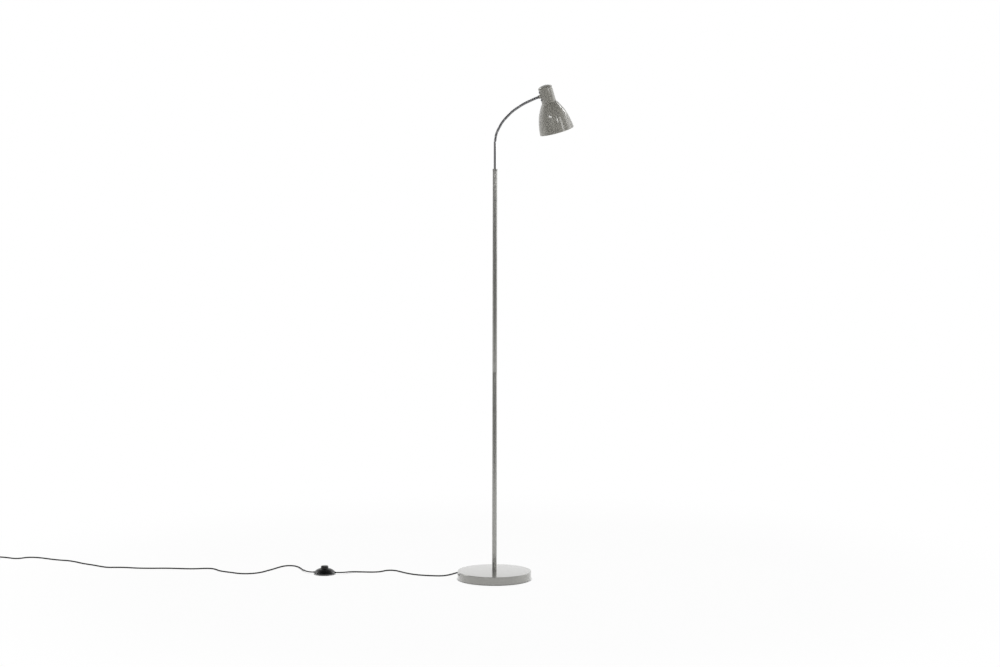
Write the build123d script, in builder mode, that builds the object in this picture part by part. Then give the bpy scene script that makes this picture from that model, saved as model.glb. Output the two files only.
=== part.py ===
"""Gooseneck reading floor lamp: a heavy round base, a slim pole, a chrome wound
gooseneck, a bell shade with a small round lamp, and a round foot switch on its lead.

Millimetres, +Z up. The origin is the centre of the base's resting face. The
gooseneck bends in the XZ plane, towards +X.
"""

import math
import os

from build123d import *

os.makedirs("parts", exist_ok=True)

# ------------------------------------------------------------------ driving sizes
# Clearances
slip = 0.05  # radial play of a spigot, stud or pin in its bore
air = 0.3  # between pieces that move past each other, and beside soft pieces

# Base
base_radius = 110
base_height = 25
cover_wall = 1.5
cover_lift = 1.5  # the cover's skirt ends this far above the floor
cover_edge = 1.0  # rounding of the cover's top edge
pad_inset = 3.5  # from the cover's outer edge
pad_height = 2
weight_play = 0.7  # between the weight and the cover's skirt
weight_rim = 22  # width of the weight's standing rim
weight_recess = 9  # depth of the recess under the weight
pocket_radius = 22  # pocket round the nut
web = 6  # iron left above the pocket

# Pole and what clamps it
pole_radius = 7
pole_wall = 1.2
pole_top = 1219
pole_split = 622
joiner_reach = 30  # into each half of the pole
joiner_wall = 1.6
stud_radius = 5
stud_bore = 3.3
stud_reach = 30  # spigot inside the pole
stud_drop = 1  # thread below the nut
washer_radius = 14
washer_thickness = 1.5
nut_flats = 17
nut_height = 5
foot_ring_radius = 7.5
foot_ring_height = 1
cap_radius = 7.5
cap_height = 5
cap_reach = 26  # spigot inside the pole
cap_edge = 0.5

# Chrome tube at the foot of the gooseneck
tube_radius = 4.75
tube_bore = 3.6
tube_top_solid = 12  # length of the thick end that holds the first ball

# Gooseneck: ball-and-socket links on one centreline
first_pivot = 1304  # height of the first ball's centre
link_pitch = 14.5
link_gap = 0.9  # from a ball's centre to the end of the link on each side
link_root = 3.4  # radius between ribs
link_crest = 4.0  # radius on a rib
link_bore = 1.9
ball_radius = 2.8
rib_count = 5
rib_width = 1.85
rib_ramp = 0.4
# Turn at each pivot at rest, in degrees. At a pivot with 0 the neck sways sideways.
rest_turns = [7, 10, 13, 0, 10, 6.5, 0, 6.5, 6, 0, 5, 3.25, 0, 3, 2.5]

# Leads inside the lamp
lead_radius = 1.1
lead_turn = 7  # bend under the pole
lead_turn_head = 9

# Fitting between gooseneck and head
collar_radius = 5.25
collar_length = 7.2
collar_thread = 4
collar_nut_flats = 12
collar_nut_height = 4

# Head, measured along its axis from where the gooseneck's line meets it
neck_radius_top = 21
neck_radius_bottom = 21.7
neck_wall = 1.2
neck_top = 20.5  # above the gooseneck's line
neck_bottom = 23.3  # below it
dome_height = 8
dome_shoulder = 3.5  # its rounded edge
dome_wall = 1.2
dome_spigot = 5
dome_line = 0.4  # shadow line under the dome
shade_line = 0.4  # shadow line between neck and shade
shade_wall = 1.0
shade_mouth = 113.5  # the rim
shade_mouth_radius = 52.2
# The bell's outer curve between its two ends: distance along the axis, radius
shade_curve = [(29.5, 26.1), (41.5, 32.8), (57.5, 40.5), (75.5, 46.0), (94.5, 49.9)]
shade_spigot = 8.5
web_thickness = 1.0

# Bracket and lampholder inside the neck
bracket_thickness = 2
bracket_half_width = 9
bracket_top = 15
bracket_shelf = 13.2
bracket_reach = 9
screw_spread = 11.4  # each screw from the gooseneck's line
screw_radius = 1.6
screw_head_radius = 2.7
screw_head_height = 2.6
screw_length = 7
holder_radius = 14
holder_flange = 16.5
holder_flange_height = 2.5
holder_boss = 5
holder_end = 44
holder_bore = 7.6
contact_wall = 0.5
contact_rise = 22
ring_radius = 18.6
ring_height = 6

# Bulb
bulb_cap_radius = 6.9
bulb_cap_start = 26
bulb_cap_end = 44.5
bulb_collar_radius = 12
bulb_collar_end = 60
bulb_radius = 22.5
bulb_centre = 81.5

# Mains lead
cord_radius = 1.8
cord_lift = 0.05  # keeps the lead's underside just on the floor
exit_angle = 80  # where it leaves the base
exit_height = 5.7
grommet_radius = 3.4
grommet_tip = 2.3
grommet_inside = 10
grommet_outside = 16
clamp_place = 60  # from the base's centre
clamp_width = 16
clamp_length = 10
clamp_height = 8
clamp_screw_radius = 1.5
clamp_screw_head = 2.6
clamp_screw_spread = 5.2

# Foot switch
switch_x = -435
switch_y = 281
switch_angle = -30  # direction of the lead through it
switch_radius = 32.5
switch_foot_radius = 26
switch_split = 5.5  # height where its halves meet
switch_crown = 17.6
switch_wall = 2
switch_feet_height = 1.2
switch_feet_radius = 4
switch_feet_place = 18
button_radius = 11.3
button_top = 26
button_edge = 2.4
button_crown = 0.3  # its top is slightly domed
button_flange = 2.1
button_flange_height = 2.2
button_travel = 3.5
button_bore = 9
button_roof = 4
module_length = 18
module_width = 14
module_height = 4.6
module_collar = 4
module_collar_height = 3
spring_radius = 6.2
spring_wire = 0.5
spring_turns = 5
post_place = 22
post_radius = 3.2
switch_screw_radius = 1.4
switch_screw_head = 2.7
switch_screw_head_height = 1.2
switch_screw_length = 8
relief_inner = 14
relief_outer = 34
relief_radius = 2.6
relief_neck = 2.9
relief_tip = 2.2

# Put-away coil, its tie and the plug
coil_radius = 24  # outer turn, to the lead's middle
coil_step = 4.1  # from one turn to the next
coil_turns = 2  # turns in each of the two layers
coil_rise = 4.5  # from one layer to the other
tie_thickness = 0.6
tie_width = 8
tie_play = 0.8
tie_angle = 300  # place on the coil, from +X
tail = 4  # straight lead at each end of the coil
plug_width = 35
plug_thickness = 13.7
plug_length = 36
plug_nose = 12  # length over which the body widens
plug_nose_width = 13
plug_edge = 2.4
plug_height = 7
pin_radius = 2
pin_length = 19
pin_spacing = 18.6
pin_root = 8
plug_relief_length = 22
plug_relief_radius = 4.6
plug_relief_tip = 2.3


# ------------------------------------------------------------------ helpers
def along(angle):
    """Unit vector in the floor plane at an angle in degrees from +X."""
    return Vector(math.cos(math.radians(angle)), math.sin(math.radians(angle)), 0)


def hexagon_radius(flats):
    """Corner radius of a hexagon with this width across its flats."""
    return flats / math.sqrt(3)


def bend_radii(points):
    """Largest tangent arc at each corner of a route: 0.45 of the shorter run."""
    corners = [Vector(*p) for p in points]
    radii = []
    for before, here, after in zip(corners, corners[1:], corners[2:]):
        runs = (here - before, after - here)
        half_turn = math.radians(runs[0].get_angle(runs[1])) / 2
        radii.append(0.45 * min(runs[0].length, runs[1].length) / math.tan(half_turn))
    return radii


def report(name, part, radius, path, radii):
    """Print a lead's length and tightest bend, and its volume against section x length."""
    length = sum(edge.length for edge in path.edges())
    section = math.pi * radius**2 * length
    print(f"{name}: length {length:.1f}, tightest bend {min(radii):.1f},", end=" ")
    print(f"volume {part.volume:.1f} of {section:.1f}, radii {[round(r) for r in radii]}")


# ------------------------------------------------------------------ base
weight_radius = base_radius - cover_wall - weight_play
cover_under = base_height - cover_wall
exit_way = along(exit_angle)
exit_plane = Plane(origin=(0, 0, exit_height), x_dir=(0, 0, 1), z_dir=exit_way)
nut_top = base_height - cover_wall - web - washer_thickness
stud_bottom = nut_top - nut_height - stud_drop
pole_foot = base_height + foot_ring_height

with BuildPart() as base_pad:
    with BuildSketch():
        Circle(base_radius - pad_inset)
    extrude(amount=pad_height)
    fillet(base_pad.edges().group_by(Axis.Z)[0], radius=0.5)

with BuildPart() as base_weight:
    with BuildSketch(Plane.XY.offset(pad_height)):
        Circle(weight_radius)
    extrude(amount=cover_under - pad_height)
    with BuildSketch(Plane.XY.offset(pad_height)):
        Circle(weight_radius - weight_rim)
    extrude(amount=weight_recess, mode=Mode.SUBTRACT)
    with BuildSketch(Plane.XY.offset(pad_height)):
        Circle(pocket_radius)
    extrude(amount=cover_under - web - pad_height, mode=Mode.SUBTRACT)
    with BuildSketch(Plane.XY.offset(pad_height)):
        Circle(stud_radius + slip)
    extrude(amount=base_height, mode=Mode.SUBTRACT)
    # channel for the lead through the standing rim
    with BuildSketch(exit_plane.offset(weight_radius - weight_rim - 1)):
        SlotCenterToCenter(2 * grommet_radius, 2 * (grommet_radius + air))
    extrude(amount=weight_rim + 2, mode=Mode.SUBTRACT)

with BuildPart() as base_cover:
    with BuildSketch(Plane.XY.offset(cover_lift)):
        Circle(base_radius)
    extrude(amount=base_height - cover_lift)
    fillet(base_cover.edges().group_by(Axis.Z)[-1], radius=cover_edge)
    with BuildSketch(Plane.XY.offset(cover_lift)):
        Circle(base_radius - cover_wall)
    extrude(amount=cover_under - cover_lift, mode=Mode.SUBTRACT)
    with BuildSketch(Plane.XY.offset(cover_lift)):
        Circle(stud_radius + slip)
    extrude(amount=base_height, mode=Mode.SUBTRACT)
    with BuildSketch(exit_plane.offset(base_radius - 2 * cover_wall - 1)):
        Circle(grommet_radius + slip)
    extrude(amount=4 * cover_wall, mode=Mode.SUBTRACT)

base_pad.part.label = "base_pad"
export_step(base_pad.part, "parts/base_pad.step")
base_weight.part.label = "base_weight"
export_step(base_weight.part, "parts/base_weight.step")
base_cover.part.label = "base_cover"
export_step(base_cover.part, "parts/base_cover.step")

# Strain relief that the lead leaves the base through
with BuildPart() as cord_grommet:
    with BuildSketch(exit_plane.offset(base_radius - grommet_inside)):
        Circle(grommet_radius)
    extrude(amount=grommet_inside)
    for step, radius in ((0, grommet_radius), (grommet_outside, grommet_tip)):
        with BuildSketch(exit_plane.offset(base_radius + step)):
            Circle(radius)
    loft()

# Saddle that holds the lead under the weight, and its two screws
clamp_under = pad_height + weight_recess
clamp_plane = Plane(origin=(0, 0, clamp_under), x_dir=exit_way, z_dir=(0, 0, -1))
with BuildPart() as cord_clamp:
    with BuildSketch(clamp_plane):
        with Locations((clamp_place, 0)):
            RectangleRounded(clamp_length, clamp_width, 1.5)
    extrude(amount=clamp_height)
    with BuildSketch(exit_plane.offset(clamp_place - clamp_length)):
        Circle(lead_radius + slip)
    extrude(amount=2 * clamp_length, mode=Mode.SUBTRACT)
    with BuildSketch(clamp_plane):
        with Locations((clamp_place, -clamp_screw_spread), (clamp_place, clamp_screw_spread)):
            Circle(clamp_screw_radius + slip)
    extrude(amount=clamp_height, mode=Mode.SUBTRACT)

with BuildPart() as clamp_screws:
    with BuildSketch(clamp_plane):
        with Locations((clamp_place, -clamp_screw_spread), (clamp_place, clamp_screw_spread)):
            Circle(clamp_screw_radius)
    extrude(amount=clamp_height)
    with BuildSketch(clamp_plane.offset(clamp_height)):
        with Locations((clamp_place, -clamp_screw_spread), (clamp_place, clamp_screw_spread)):
            Circle(clamp_screw_head)
    extrude(amount=0.8)

cord_grommet.part.label = "cord_grommet"
export_step(cord_grommet.part, "parts/cord_grommet.step")
cord_clamp.part.label = "cord_clamp"
export_step(cord_clamp.part, "parts/cord_clamp.step")
clamp_screws.part.label = "clamp_screws"
export_step(clamp_screws.part, "parts/clamp_screws.step")

# ------------------------------------------------------------------ pole
pole_bore = pole_radius - pole_wall
spigot_radius = pole_bore - slip

# Hollow stud: thread through base, cover and weight, shoulder and spigot in the pole
with BuildPart() as pole_stud:
    with BuildSketch(Plane.XY.offset(stud_bottom)):
        Circle(stud_radius)
    extrude(amount=pole_foot - stud_bottom)
    with BuildSketch(Plane.XY.offset(pole_foot)):
        Circle(spigot_radius)
    extrude(amount=stud_reach)
    chamfer(pole_stud.edges().group_by(Axis.Z)[-1], length=0.8)
    with BuildSketch(Plane.XY.offset(stud_bottom)):
        Circle(stud_bore)
    extrude(amount=pole_foot + stud_reach, mode=Mode.SUBTRACT)

with BuildPart() as stud_washer:
    with BuildSketch(Plane.XY.offset(nut_top)):
        Circle(washer_radius)
        Circle(stud_radius + slip, mode=Mode.SUBTRACT)
    extrude(amount=washer_thickness)

with BuildPart() as stud_nut:
    with BuildSketch(Plane.XY.offset(nut_top - nut_height)):
        RegularPolygon(hexagon_radius(nut_flats), 6)
        Circle(stud_radius + slip, mode=Mode.SUBTRACT)
    extrude(amount=nut_height)

with BuildPart() as pole_foot_ring:
    with BuildSketch(Plane.XY.offset(base_height)):
        Circle(foot_ring_radius)
        Circle(stud_radius + slip, mode=Mode.SUBTRACT)
    extrude(amount=foot_ring_height)

with BuildPart() as pole_lower:
    with BuildSketch(Plane.XY.offset(pole_foot)):
        Circle(pole_radius)
        Circle(pole_bore, mode=Mode.SUBTRACT)
    extrude(amount=pole_split - pole_foot)

with BuildPart() as pole_upper:
    with BuildSketch(Plane.XY.offset(pole_split)):
        Circle(pole_radius)
        Circle(pole_bore, mode=Mode.SUBTRACT)
    extrude(amount=pole_top - pole_split)

with BuildPart() as pole_joiner:
    with BuildSketch(Plane.XY.offset(pole_split - joiner_reach)):
        Circle(spigot_radius)
        Circle(spigot_radius - joiner_wall, mode=Mode.SUBTRACT)
    extrude(amount=2 * joiner_reach)

with BuildPart() as pole_cap:
    with BuildSketch(Plane.XY.offset(pole_top - cap_reach)):
        Circle(spigot_radius)
    extrude(amount=cap_reach)
    with BuildSketch(Plane.XY.offset(pole_top)):
        Circle(cap_radius)
    extrude(amount=cap_height)
    fillet(pole_cap.edges().group_by(Axis.Z)[-1], radius=cap_edge)
    with BuildSketch(Plane.XY.offset(pole_top - cap_reach)):
        Circle(tube_radius + slip)
    extrude(amount=cap_reach + cap_height, mode=Mode.SUBTRACT)

for piece, name in (
    (pole_stud, "pole_stud"),
    (stud_washer, "stud_washer"),
    (stud_nut, "stud_nut"),
    (pole_foot_ring, "pole_foot_ring"),
    (pole_lower, "pole_lower"),
    (pole_upper, "pole_upper"),
    (pole_joiner, "pole_joiner"),
    (pole_cap, "pole_cap"),
):
    piece.part.label = name
    export_step(piece.part, f"parts/{name}.step")

# ------------------------------------------------------------------ gooseneck
socket_radius = ball_radius + air

# Centreline: each pivot, and the direction of the link that starts at it
pivots = [Vector(0, 0, first_pivot)]
ways = []
lean = 0
for turn in rest_turns:
    lean += turn
    ways.append(Vector(math.sin(math.radians(lean)), 0, math.cos(math.radians(lean))))
    pivots.append(pivots[-1] + ways[-1] * link_pitch)
link_count = len(rest_turns) - 1
last_pivot = pivots[link_count]
neck_way = ways[link_count]  # the gooseneck's last direction, into the head


def ring_plane(index, height):
    """Plane across link index, at a height above its lower pivot."""
    origin = pivots[index] + ways[index] * height
    return Plane(origin=origin, x_dir=(0, 1, 0), z_dir=ways[index])


with BuildPart() as gooseneck_tube:
    with BuildSketch(Plane.XY.offset(pole_top - cap_reach)):
        Circle(tube_radius)
    extrude(amount=first_pivot - link_gap - pole_top + cap_reach)
    chamfer(gooseneck_tube.edges().group_by(Axis.Z)[-1], length=0.5)
    with BuildSketch(Plane.XY.offset(pole_top - cap_reach)):
        Circle(tube_bore)
    extrude(amount=first_pivot - tube_top_solid - pole_top + cap_reach, mode=Mode.SUBTRACT)
    with BuildSketch(Plane.XY.offset(pole_top)):
        Circle(link_bore)
    extrude(amount=first_pivot - pole_top, mode=Mode.SUBTRACT)
    with Locations(pivots[0]):
        Sphere(socket_radius, mode=Mode.SUBTRACT)

gooseneck_tube.part.label = "gooseneck_tube"
export_step(gooseneck_tube.part, "parts/gooseneck_tube.step")

rib_step = (link_pitch - 2 * link_gap - rib_width) / (rib_count - 1)
for index in range(link_count):
    with BuildPart() as gooseneck_link:
        for rib in range(rib_count):
            start = link_gap + rib * rib_step
            for height, radius in (
                (start, link_root),
                (start + rib_ramp, link_crest),
                (start + rib_width - rib_ramp, link_crest),
                (start + rib_width, link_root),
            ):
                with BuildSketch(ring_plane(index, height)):
                    Circle(radius)
        loft(ruled=True)
        with Locations(pivots[index]):
            Sphere(ball_radius)
        with BuildSketch(ring_plane(index, -2 * ball_radius)):
            Circle(link_bore)
        extrude(amount=link_pitch + 2 * ball_radius, mode=Mode.SUBTRACT)
        with Locations(pivots[index + 1]):
            Sphere(socket_radius, mode=Mode.SUBTRACT)
    name = f"gooseneck_link_{index + 1:02d}"
    gooseneck_link.part.label = name
    export_step(gooseneck_link.part, f"parts/{name}.step")

# ------------------------------------------------------------------ head
# The gooseneck's line meets the head's axis at head_origin. head_way points along
# the axis to the shade's mouth, and neck_way across it, away from the gooseneck.
neck_radius_mid = neck_radius_top + (neck_radius_bottom - neck_radius_top) * neck_top / (
    neck_top + neck_bottom
)
collar_start = neck_radius_mid + collar_length  # from the axis
head_origin = last_pivot + neck_way * (collar_start + link_gap)
head_way = Vector(neck_way.Z, 0, -neck_way.X)
head_axis = Axis(head_origin, head_way)
head_profile = Plane(origin=head_origin, x_dir=neck_way, z_dir=(0, 1, 0))


def cross_plane(distance):
    """Plane across the head's axis, at a distance towards the mouth."""
    return Plane(origin=head_origin + head_way * distance, x_dir=neck_way, z_dir=head_way)


def side_plane(distance):
    """Plane across the gooseneck's line, at a distance from the head's axis."""
    return Plane(
        origin=head_origin + neck_way * distance, x_dir=head_way, z_dir=neck_way
    )


def neck_radius_at(distance):
    """Outer radius of the neck at a distance along the head's axis."""
    share = (distance + neck_top) / (neck_top + neck_bottom)
    return neck_radius_top + (neck_radius_bottom - neck_radius_top) * share


plate_face = -(neck_radius_mid - neck_wall - 2.7)  # bracket's face towards the wall
plate_inner = plate_face + bracket_thickness

with BuildPart() as neck_shell:
    with BuildSketch(head_profile):
        with BuildLine():
            Polyline(
                (neck_radius_top - neck_wall, -neck_top),
                (neck_radius_top, -neck_top),
                (neck_radius_bottom, neck_bottom),
                (neck_radius_bottom - neck_wall, neck_bottom),
                close=True,
            )
        make_face()
    revolve(axis=head_axis)
    with BuildSketch(side_plane(-2 * neck_radius_mid)):
        Circle(collar_thread + slip)
        with Locations((-screw_spread, 0), (screw_spread, 0)):
            Circle(screw_radius + slip)
    extrude(amount=2 * neck_radius_mid, mode=Mode.SUBTRACT)

# Domed cap: part of a sphere with a rounded edge, and a spigot inside the neck
dome_foot = -neck_top - dome_line
dome_outer = neck_radius_top - neck_wall - slip
dome_inner = dome_outer - dome_wall
shoulder_out = neck_radius_top - dome_shoulder
dome_round = (dome_height**2 + shoulder_out**2 - dome_shoulder**2) / (
    2 * (dome_height - dome_shoulder)
)
dome_centre = dome_foot - dome_height + dome_round
dome_inner_foot = dome_centre - math.sqrt((dome_round - dome_wall) ** 2 - dome_inner**2)
# Where the dome's curve runs into its rounded edge: distance out, and along the axis
edge_reach = dome_round / (dome_round - dome_shoulder)
edge_out = shoulder_out * edge_reach
edge_along = dome_centre - (dome_centre - dome_foot) * edge_reach
with BuildPart() as dome_cap:
    with BuildSketch(head_profile):
        with BuildLine():
            Line((0, dome_centre - dome_round), (0, dome_centre - dome_round + dome_wall))
            RadiusArc(
                (0, dome_centre - dome_round + dome_wall),
                (dome_inner, dome_inner_foot),
                dome_wall - dome_round,
            )
            Polyline(
                (dome_inner, dome_inner_foot),
                (dome_inner, dome_foot + dome_spigot),
                (dome_outer, dome_foot + dome_spigot),
                (dome_outer, dome_foot),
                (neck_radius_top, dome_foot),
            )
            RadiusArc((neck_radius_top, dome_foot), (edge_out, edge_along), dome_shoulder)
            RadiusArc((edge_out, edge_along), (0, dome_centre - dome_round), dome_round)
        make_face()
    revolve(axis=head_axis)

# Fitting at the end of the gooseneck: ball, collar cut to the neck's curve, thread
with BuildPart() as end_collar:
    with BuildSketch(side_plane(-collar_start)):
        Circle(collar_radius)
    extrude(amount=collar_start - neck_radius_mid + 2)
    fillet(end_collar.edges().sort_by(Axis(head_origin, neck_way))[0], radius=0.6)
    with BuildSketch(head_profile):
        with BuildLine():
            Polyline(
                (0, -neck_top),
                (neck_radius_at(-neck_top) + slip, -neck_top),
                (neck_radius_at(neck_bottom) + slip, neck_bottom),
                (0, neck_bottom),
                close=True,
            )
        make_face()
    revolve(axis=head_axis, mode=Mode.SUBTRACT)
    with Locations(last_pivot):
        Sphere(ball_radius)
    with BuildSketch(side_plane(-collar_start - link_gap)):
        Circle(ball_radius - slip)
    extrude(amount=2 * link_gap)
    with BuildSketch(side_plane(-neck_radius_mid - 2)):
        Circle(collar_thread)
    extrude(amount=2 + neck_radius_mid + plate_inner + collar_nut_height + 1)
    with BuildSketch(side_plane(-collar_start - 2 * ball_radius)):
        Circle(link_bore)
    extrude(amount=collar_start + 2 * ball_radius, mode=Mode.SUBTRACT)

with BuildPart() as collar_nut:
    with BuildSketch(side_plane(plate_inner)):
        RegularPolygon(hexagon_radius(collar_nut_flats), 6)
        Circle(collar_thread + slip, mode=Mode.SUBTRACT)
    extrude(amount=collar_nut_height)

# Two screws through the neck into the bracket
with BuildPart() as neck_screws:
    for place in (-screw_spread, screw_spread):
        seat = -neck_radius_at(place) - 0.1
        with BuildSketch(side_plane(seat)):
            with Locations((place, 0)):
                Circle(screw_radius)
        extrude(amount=screw_length)
        with BuildSketch(side_plane(seat - screw_head_height)):
            with Locations((place, 0)):
                Circle(screw_head_radius)
        extrude(amount=screw_head_height)
    heads = neck_screws.edges().filter_by(GeomType.CIRCLE)
    outer = heads.group_by(Axis(head_origin, neck_way))[:2]
    fillet([edge for group in outer for edge in group], radius=1.1)

# Angle bracket: a plate behind the neck's wall and a shelf for the lampholder
with BuildPart() as head_bracket:
    with BuildSketch(side_plane(plate_face)):
        with Locations(((bracket_shelf + bracket_thickness - bracket_top) / 2, 0)):
            Rectangle(bracket_top + bracket_shelf + bracket_thickness, 2 * bracket_half_width)
    extrude(amount=bracket_thickness)
    with BuildSketch(cross_plane(bracket_shelf)):
        with Locations(((plate_face + bracket_reach) / 2, 0)):
            Rectangle(bracket_reach - plate_face, 2 * bracket_half_width)
    extrude(amount=bracket_thickness)
    with BuildSketch(side_plane(plate_face)):
        Circle(collar_thread + slip)
        with Locations((-screw_spread, 0), (screw_spread, 0)):
            Circle(screw_radius + slip)
    extrude(amount=bracket_thickness, mode=Mode.SUBTRACT)
    with BuildSketch(cross_plane(bracket_shelf)):
        Circle(holder_boss + slip)
    extrude(amount=bracket_thickness, mode=Mode.SUBTRACT)

# Lampholder: boss through the shelf, flange above the shade's web, open end
shelf_under = bracket_shelf + bracket_thickness
web_top = neck_bottom + shade_line - web_thickness
flange_start = web_top - holder_flange_height
with BuildPart() as lampholder_body:
    with BuildSketch(cross_plane(bracket_shelf)):
        Circle(holder_boss)
    extrude(amount=bracket_thickness)
    with BuildSketch(cross_plane(shelf_under)):
        Circle(holder_radius)
    extrude(amount=holder_end - shelf_under)
    with BuildSketch(cross_plane(flange_start)):
        Circle(holder_flange)
    extrude(amount=holder_flange_height)
    with BuildSketch(cross_plane(contact_rise)):
        Circle(holder_bore)
    extrude(amount=holder_end - contact_rise, mode=Mode.SUBTRACT)
    with BuildSketch(cross_plane(bracket_shelf)):
        Circle(2 * lead_radius)
    extrude(amount=contact_rise - bracket_shelf - 2, mode=Mode.SUBTRACT)

with BuildPart() as lampholder_contact:
    with BuildSketch(cross_plane(contact_rise)):
        Circle(holder_bore - slip)
    extrude(amount=bulb_cap_end - contact_rise)
    with BuildSketch(cross_plane(contact_rise + contact_wall)):
        Circle(holder_bore - slip - contact_wall)
    extrude(amount=bulb_cap_end - contact_rise, mode=Mode.SUBTRACT)
    with BuildSketch(cross_plane(contact_rise + contact_wall)):
        Circle(3)
    extrude(amount=bulb_cap_start - contact_rise - contact_wall - 1.5)

# Bell shade, one pressing: spigot in the neck, web that the lampholder clamps, bell
bell_start = neck_bottom + shade_line
spigot_outer = (
    min(neck_radius_at(bell_start - shade_spigot), neck_radius_bottom) - neck_wall - slip
)
with BuildPart() as shade:
    with BuildSketch(head_profile):
        with BuildLine():
            Polyline(
                (spigot_outer, bell_start - shade_spigot),
                (spigot_outer, bell_start),
                (neck_radius_bottom, bell_start),
            )
            Spline(
                (neck_radius_bottom, bell_start),
                *[(radius, distance) for distance, radius in shade_curve],
                (shade_mouth_radius, shade_mouth),
            )
            Line(
                (shade_mouth_radius, shade_mouth),
                (shade_mouth_radius - shade_wall, shade_mouth),
            )
            Spline(
                (shade_mouth_radius - shade_wall, shade_mouth),
                *[(radius - shade_wall, distance + 0.2) for distance, radius in shade_curve[::-1]],
                (spigot_outer - shade_wall, bell_start + 1.2),
            )
            Polyline(
                (spigot_outer - shade_wall, bell_start + 1.2),
                (spigot_outer - shade_wall, bell_start - shade_spigot),
                (spigot_outer, bell_start - shade_spigot),
            )
        make_face()
    revolve(axis=head_axis)
    with BuildSketch(cross_plane(web_top)):
        Circle(spigot_outer - shade_wall / 2)
        Circle(holder_radius + slip, mode=Mode.SUBTRACT)
    extrude(amount=web_thickness)

with BuildPart() as shade_ring:
    with BuildSketch(cross_plane(web_top + web_thickness)):
        Circle(ring_radius)
        Circle(holder_radius + slip, mode=Mode.SUBTRACT)
    extrude(amount=ring_height)
    with BuildSketch(cross_plane(web_top + web_thickness)):
        with PolarLocations(ring_radius + 1.2, 12):
            Circle(2.4)
    extrude(amount=ring_height, mode=Mode.SUBTRACT)

for piece, name in (
    (neck_shell, "neck_shell"),
    (dome_cap, "dome_cap"),
    (end_collar, "end_collar"),
    (collar_nut, "collar_nut"),
    (neck_screws, "neck_screws"),
    (head_bracket, "head_bracket"),
    (lampholder_body, "lampholder_body"),
    (lampholder_contact, "lampholder_contact"),
    (shade, "shade"),
    (shade_ring, "shade_ring"),
):
    piece.part.label = name
    export_step(piece.part, f"parts/{name}.step")

# ------------------------------------------------------------------ bulb
with BuildPart() as bulb_cap:
    with BuildSketch(cross_plane(bulb_cap_start)):
        Circle(bulb_cap_radius - slip)
    extrude(amount=bulb_cap_end - bulb_cap_start)
    with BuildSketch(cross_plane(bulb_cap_start - 1.5)):
        Circle(2.6)
    extrude(amount=1.5)

globe_join = math.sqrt(bulb_radius**2 - (bulb_centre - bulb_collar_end) ** 2)
with BuildPart() as bulb_collar:
    for distance, radius in (
        (bulb_cap_end, bulb_cap_radius + 1),
        (bulb_cap_end + 4, bulb_collar_radius - 1),
        (bulb_collar_end, bulb_collar_radius),
    ):
        with BuildSketch(cross_plane(distance)):
            Circle(radius)
    loft(ruled=True)

globe_foot = math.sqrt(bulb_radius**2 - bulb_collar_radius**2)
with BuildPart() as bulb_globe:
    with BuildSketch(head_profile):
        with BuildLine():
            Line((0, bulb_centre + bulb_radius), (0, bulb_collar_end))
            Line((0, bulb_collar_end), (bulb_collar_radius, bulb_collar_end))
            Line(
                (bulb_collar_radius, bulb_collar_end),
                (bulb_collar_radius, bulb_centre - globe_foot),
            )
            ThreePointArc(
                (bulb_collar_radius, bulb_centre - globe_foot),
                (bulb_radius, bulb_centre),
                (0, bulb_centre + bulb_radius),
            )
        make_face()
    revolve(axis=head_axis)

for piece, name in (
    (bulb_cap, "bulb_cap"),
    (bulb_collar, "bulb_collar"),
    (bulb_globe, "bulb_globe"),
):
    piece.part.label = name
    export_step(piece.part, f"parts/{name}.step")

# ------------------------------------------------------------------ leads inside
neck_lead_start = first_pivot - 5
with BuildPart() as lead_pole:
    with BuildLine() as lead_pole_path:
        FilletPolyline(
            exit_way * (base_radius - grommet_inside) + Vector(0, 0, exit_height),
            Vector(0, 0, exit_height),
            Vector(0, 0, neck_lead_start),
            radius=lead_turn,
        )
    with BuildSketch(exit_plane.offset(base_radius - grommet_inside)):
        Circle(lead_radius)
    sweep()

neck_lead_end = last_pivot + neck_way * 5
neck_lead_points = [
    Vector(0, 0, neck_lead_start),
    *[pivots[i] for i in range(link_count + 1) if rest_turns[i]],
    neck_lead_end,
]
with BuildPart() as lead_gooseneck:
    with BuildLine() as lead_gooseneck_path:
        FilletPolyline(*neck_lead_points, radius=bend_radii(neck_lead_points))
    with BuildSketch(Plane.XY.offset(neck_lead_start)):
        Circle(lead_radius)
    sweep()

with BuildPart() as lead_head:
    with BuildLine() as lead_head_path:
        FilletPolyline(
            neck_lead_end,
            head_origin,
            head_origin + head_way * (contact_rise - 2),
            radius=lead_turn_head,
        )
    with BuildSketch(Plane(origin=neck_lead_end, x_dir=(0, 1, 0), z_dir=neck_way)):
        Circle(lead_radius)
    sweep()

for piece, name in (
    (lead_pole, "lead_pole"),
    (lead_gooseneck, "lead_gooseneck"),
    (lead_head, "lead_head"),
):
    piece.part.label = name
    export_step(piece.part, f"parts/{name}.step")

# ------------------------------------------------------------------ foot switch
switch_way = along(switch_angle)
switch_centre = Vector(switch_x, switch_y, 0)
switch_axis = Axis(switch_centre, (0, 0, 1))
switch_profile = Plane(
    origin=switch_centre, x_dir=switch_way, z_dir=switch_way.cross(Vector(0, 0, 1))
)
switch_seam = Plane(
    origin=switch_centre + Vector(0, 0, switch_split), x_dir=(0, 0, 1), z_dir=switch_way
)
button_hole = button_radius + air
switch_floor = switch_feet_height + switch_wall
post_angles = (90, 210, 330)


def switch_plane(height):
    """Level plane at a height, centred on the foot switch and turned with it."""
    return Plane(
        origin=switch_centre + Vector(0, 0, height), x_dir=switch_way, z_dir=(0, 0, 1)
    )


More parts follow.
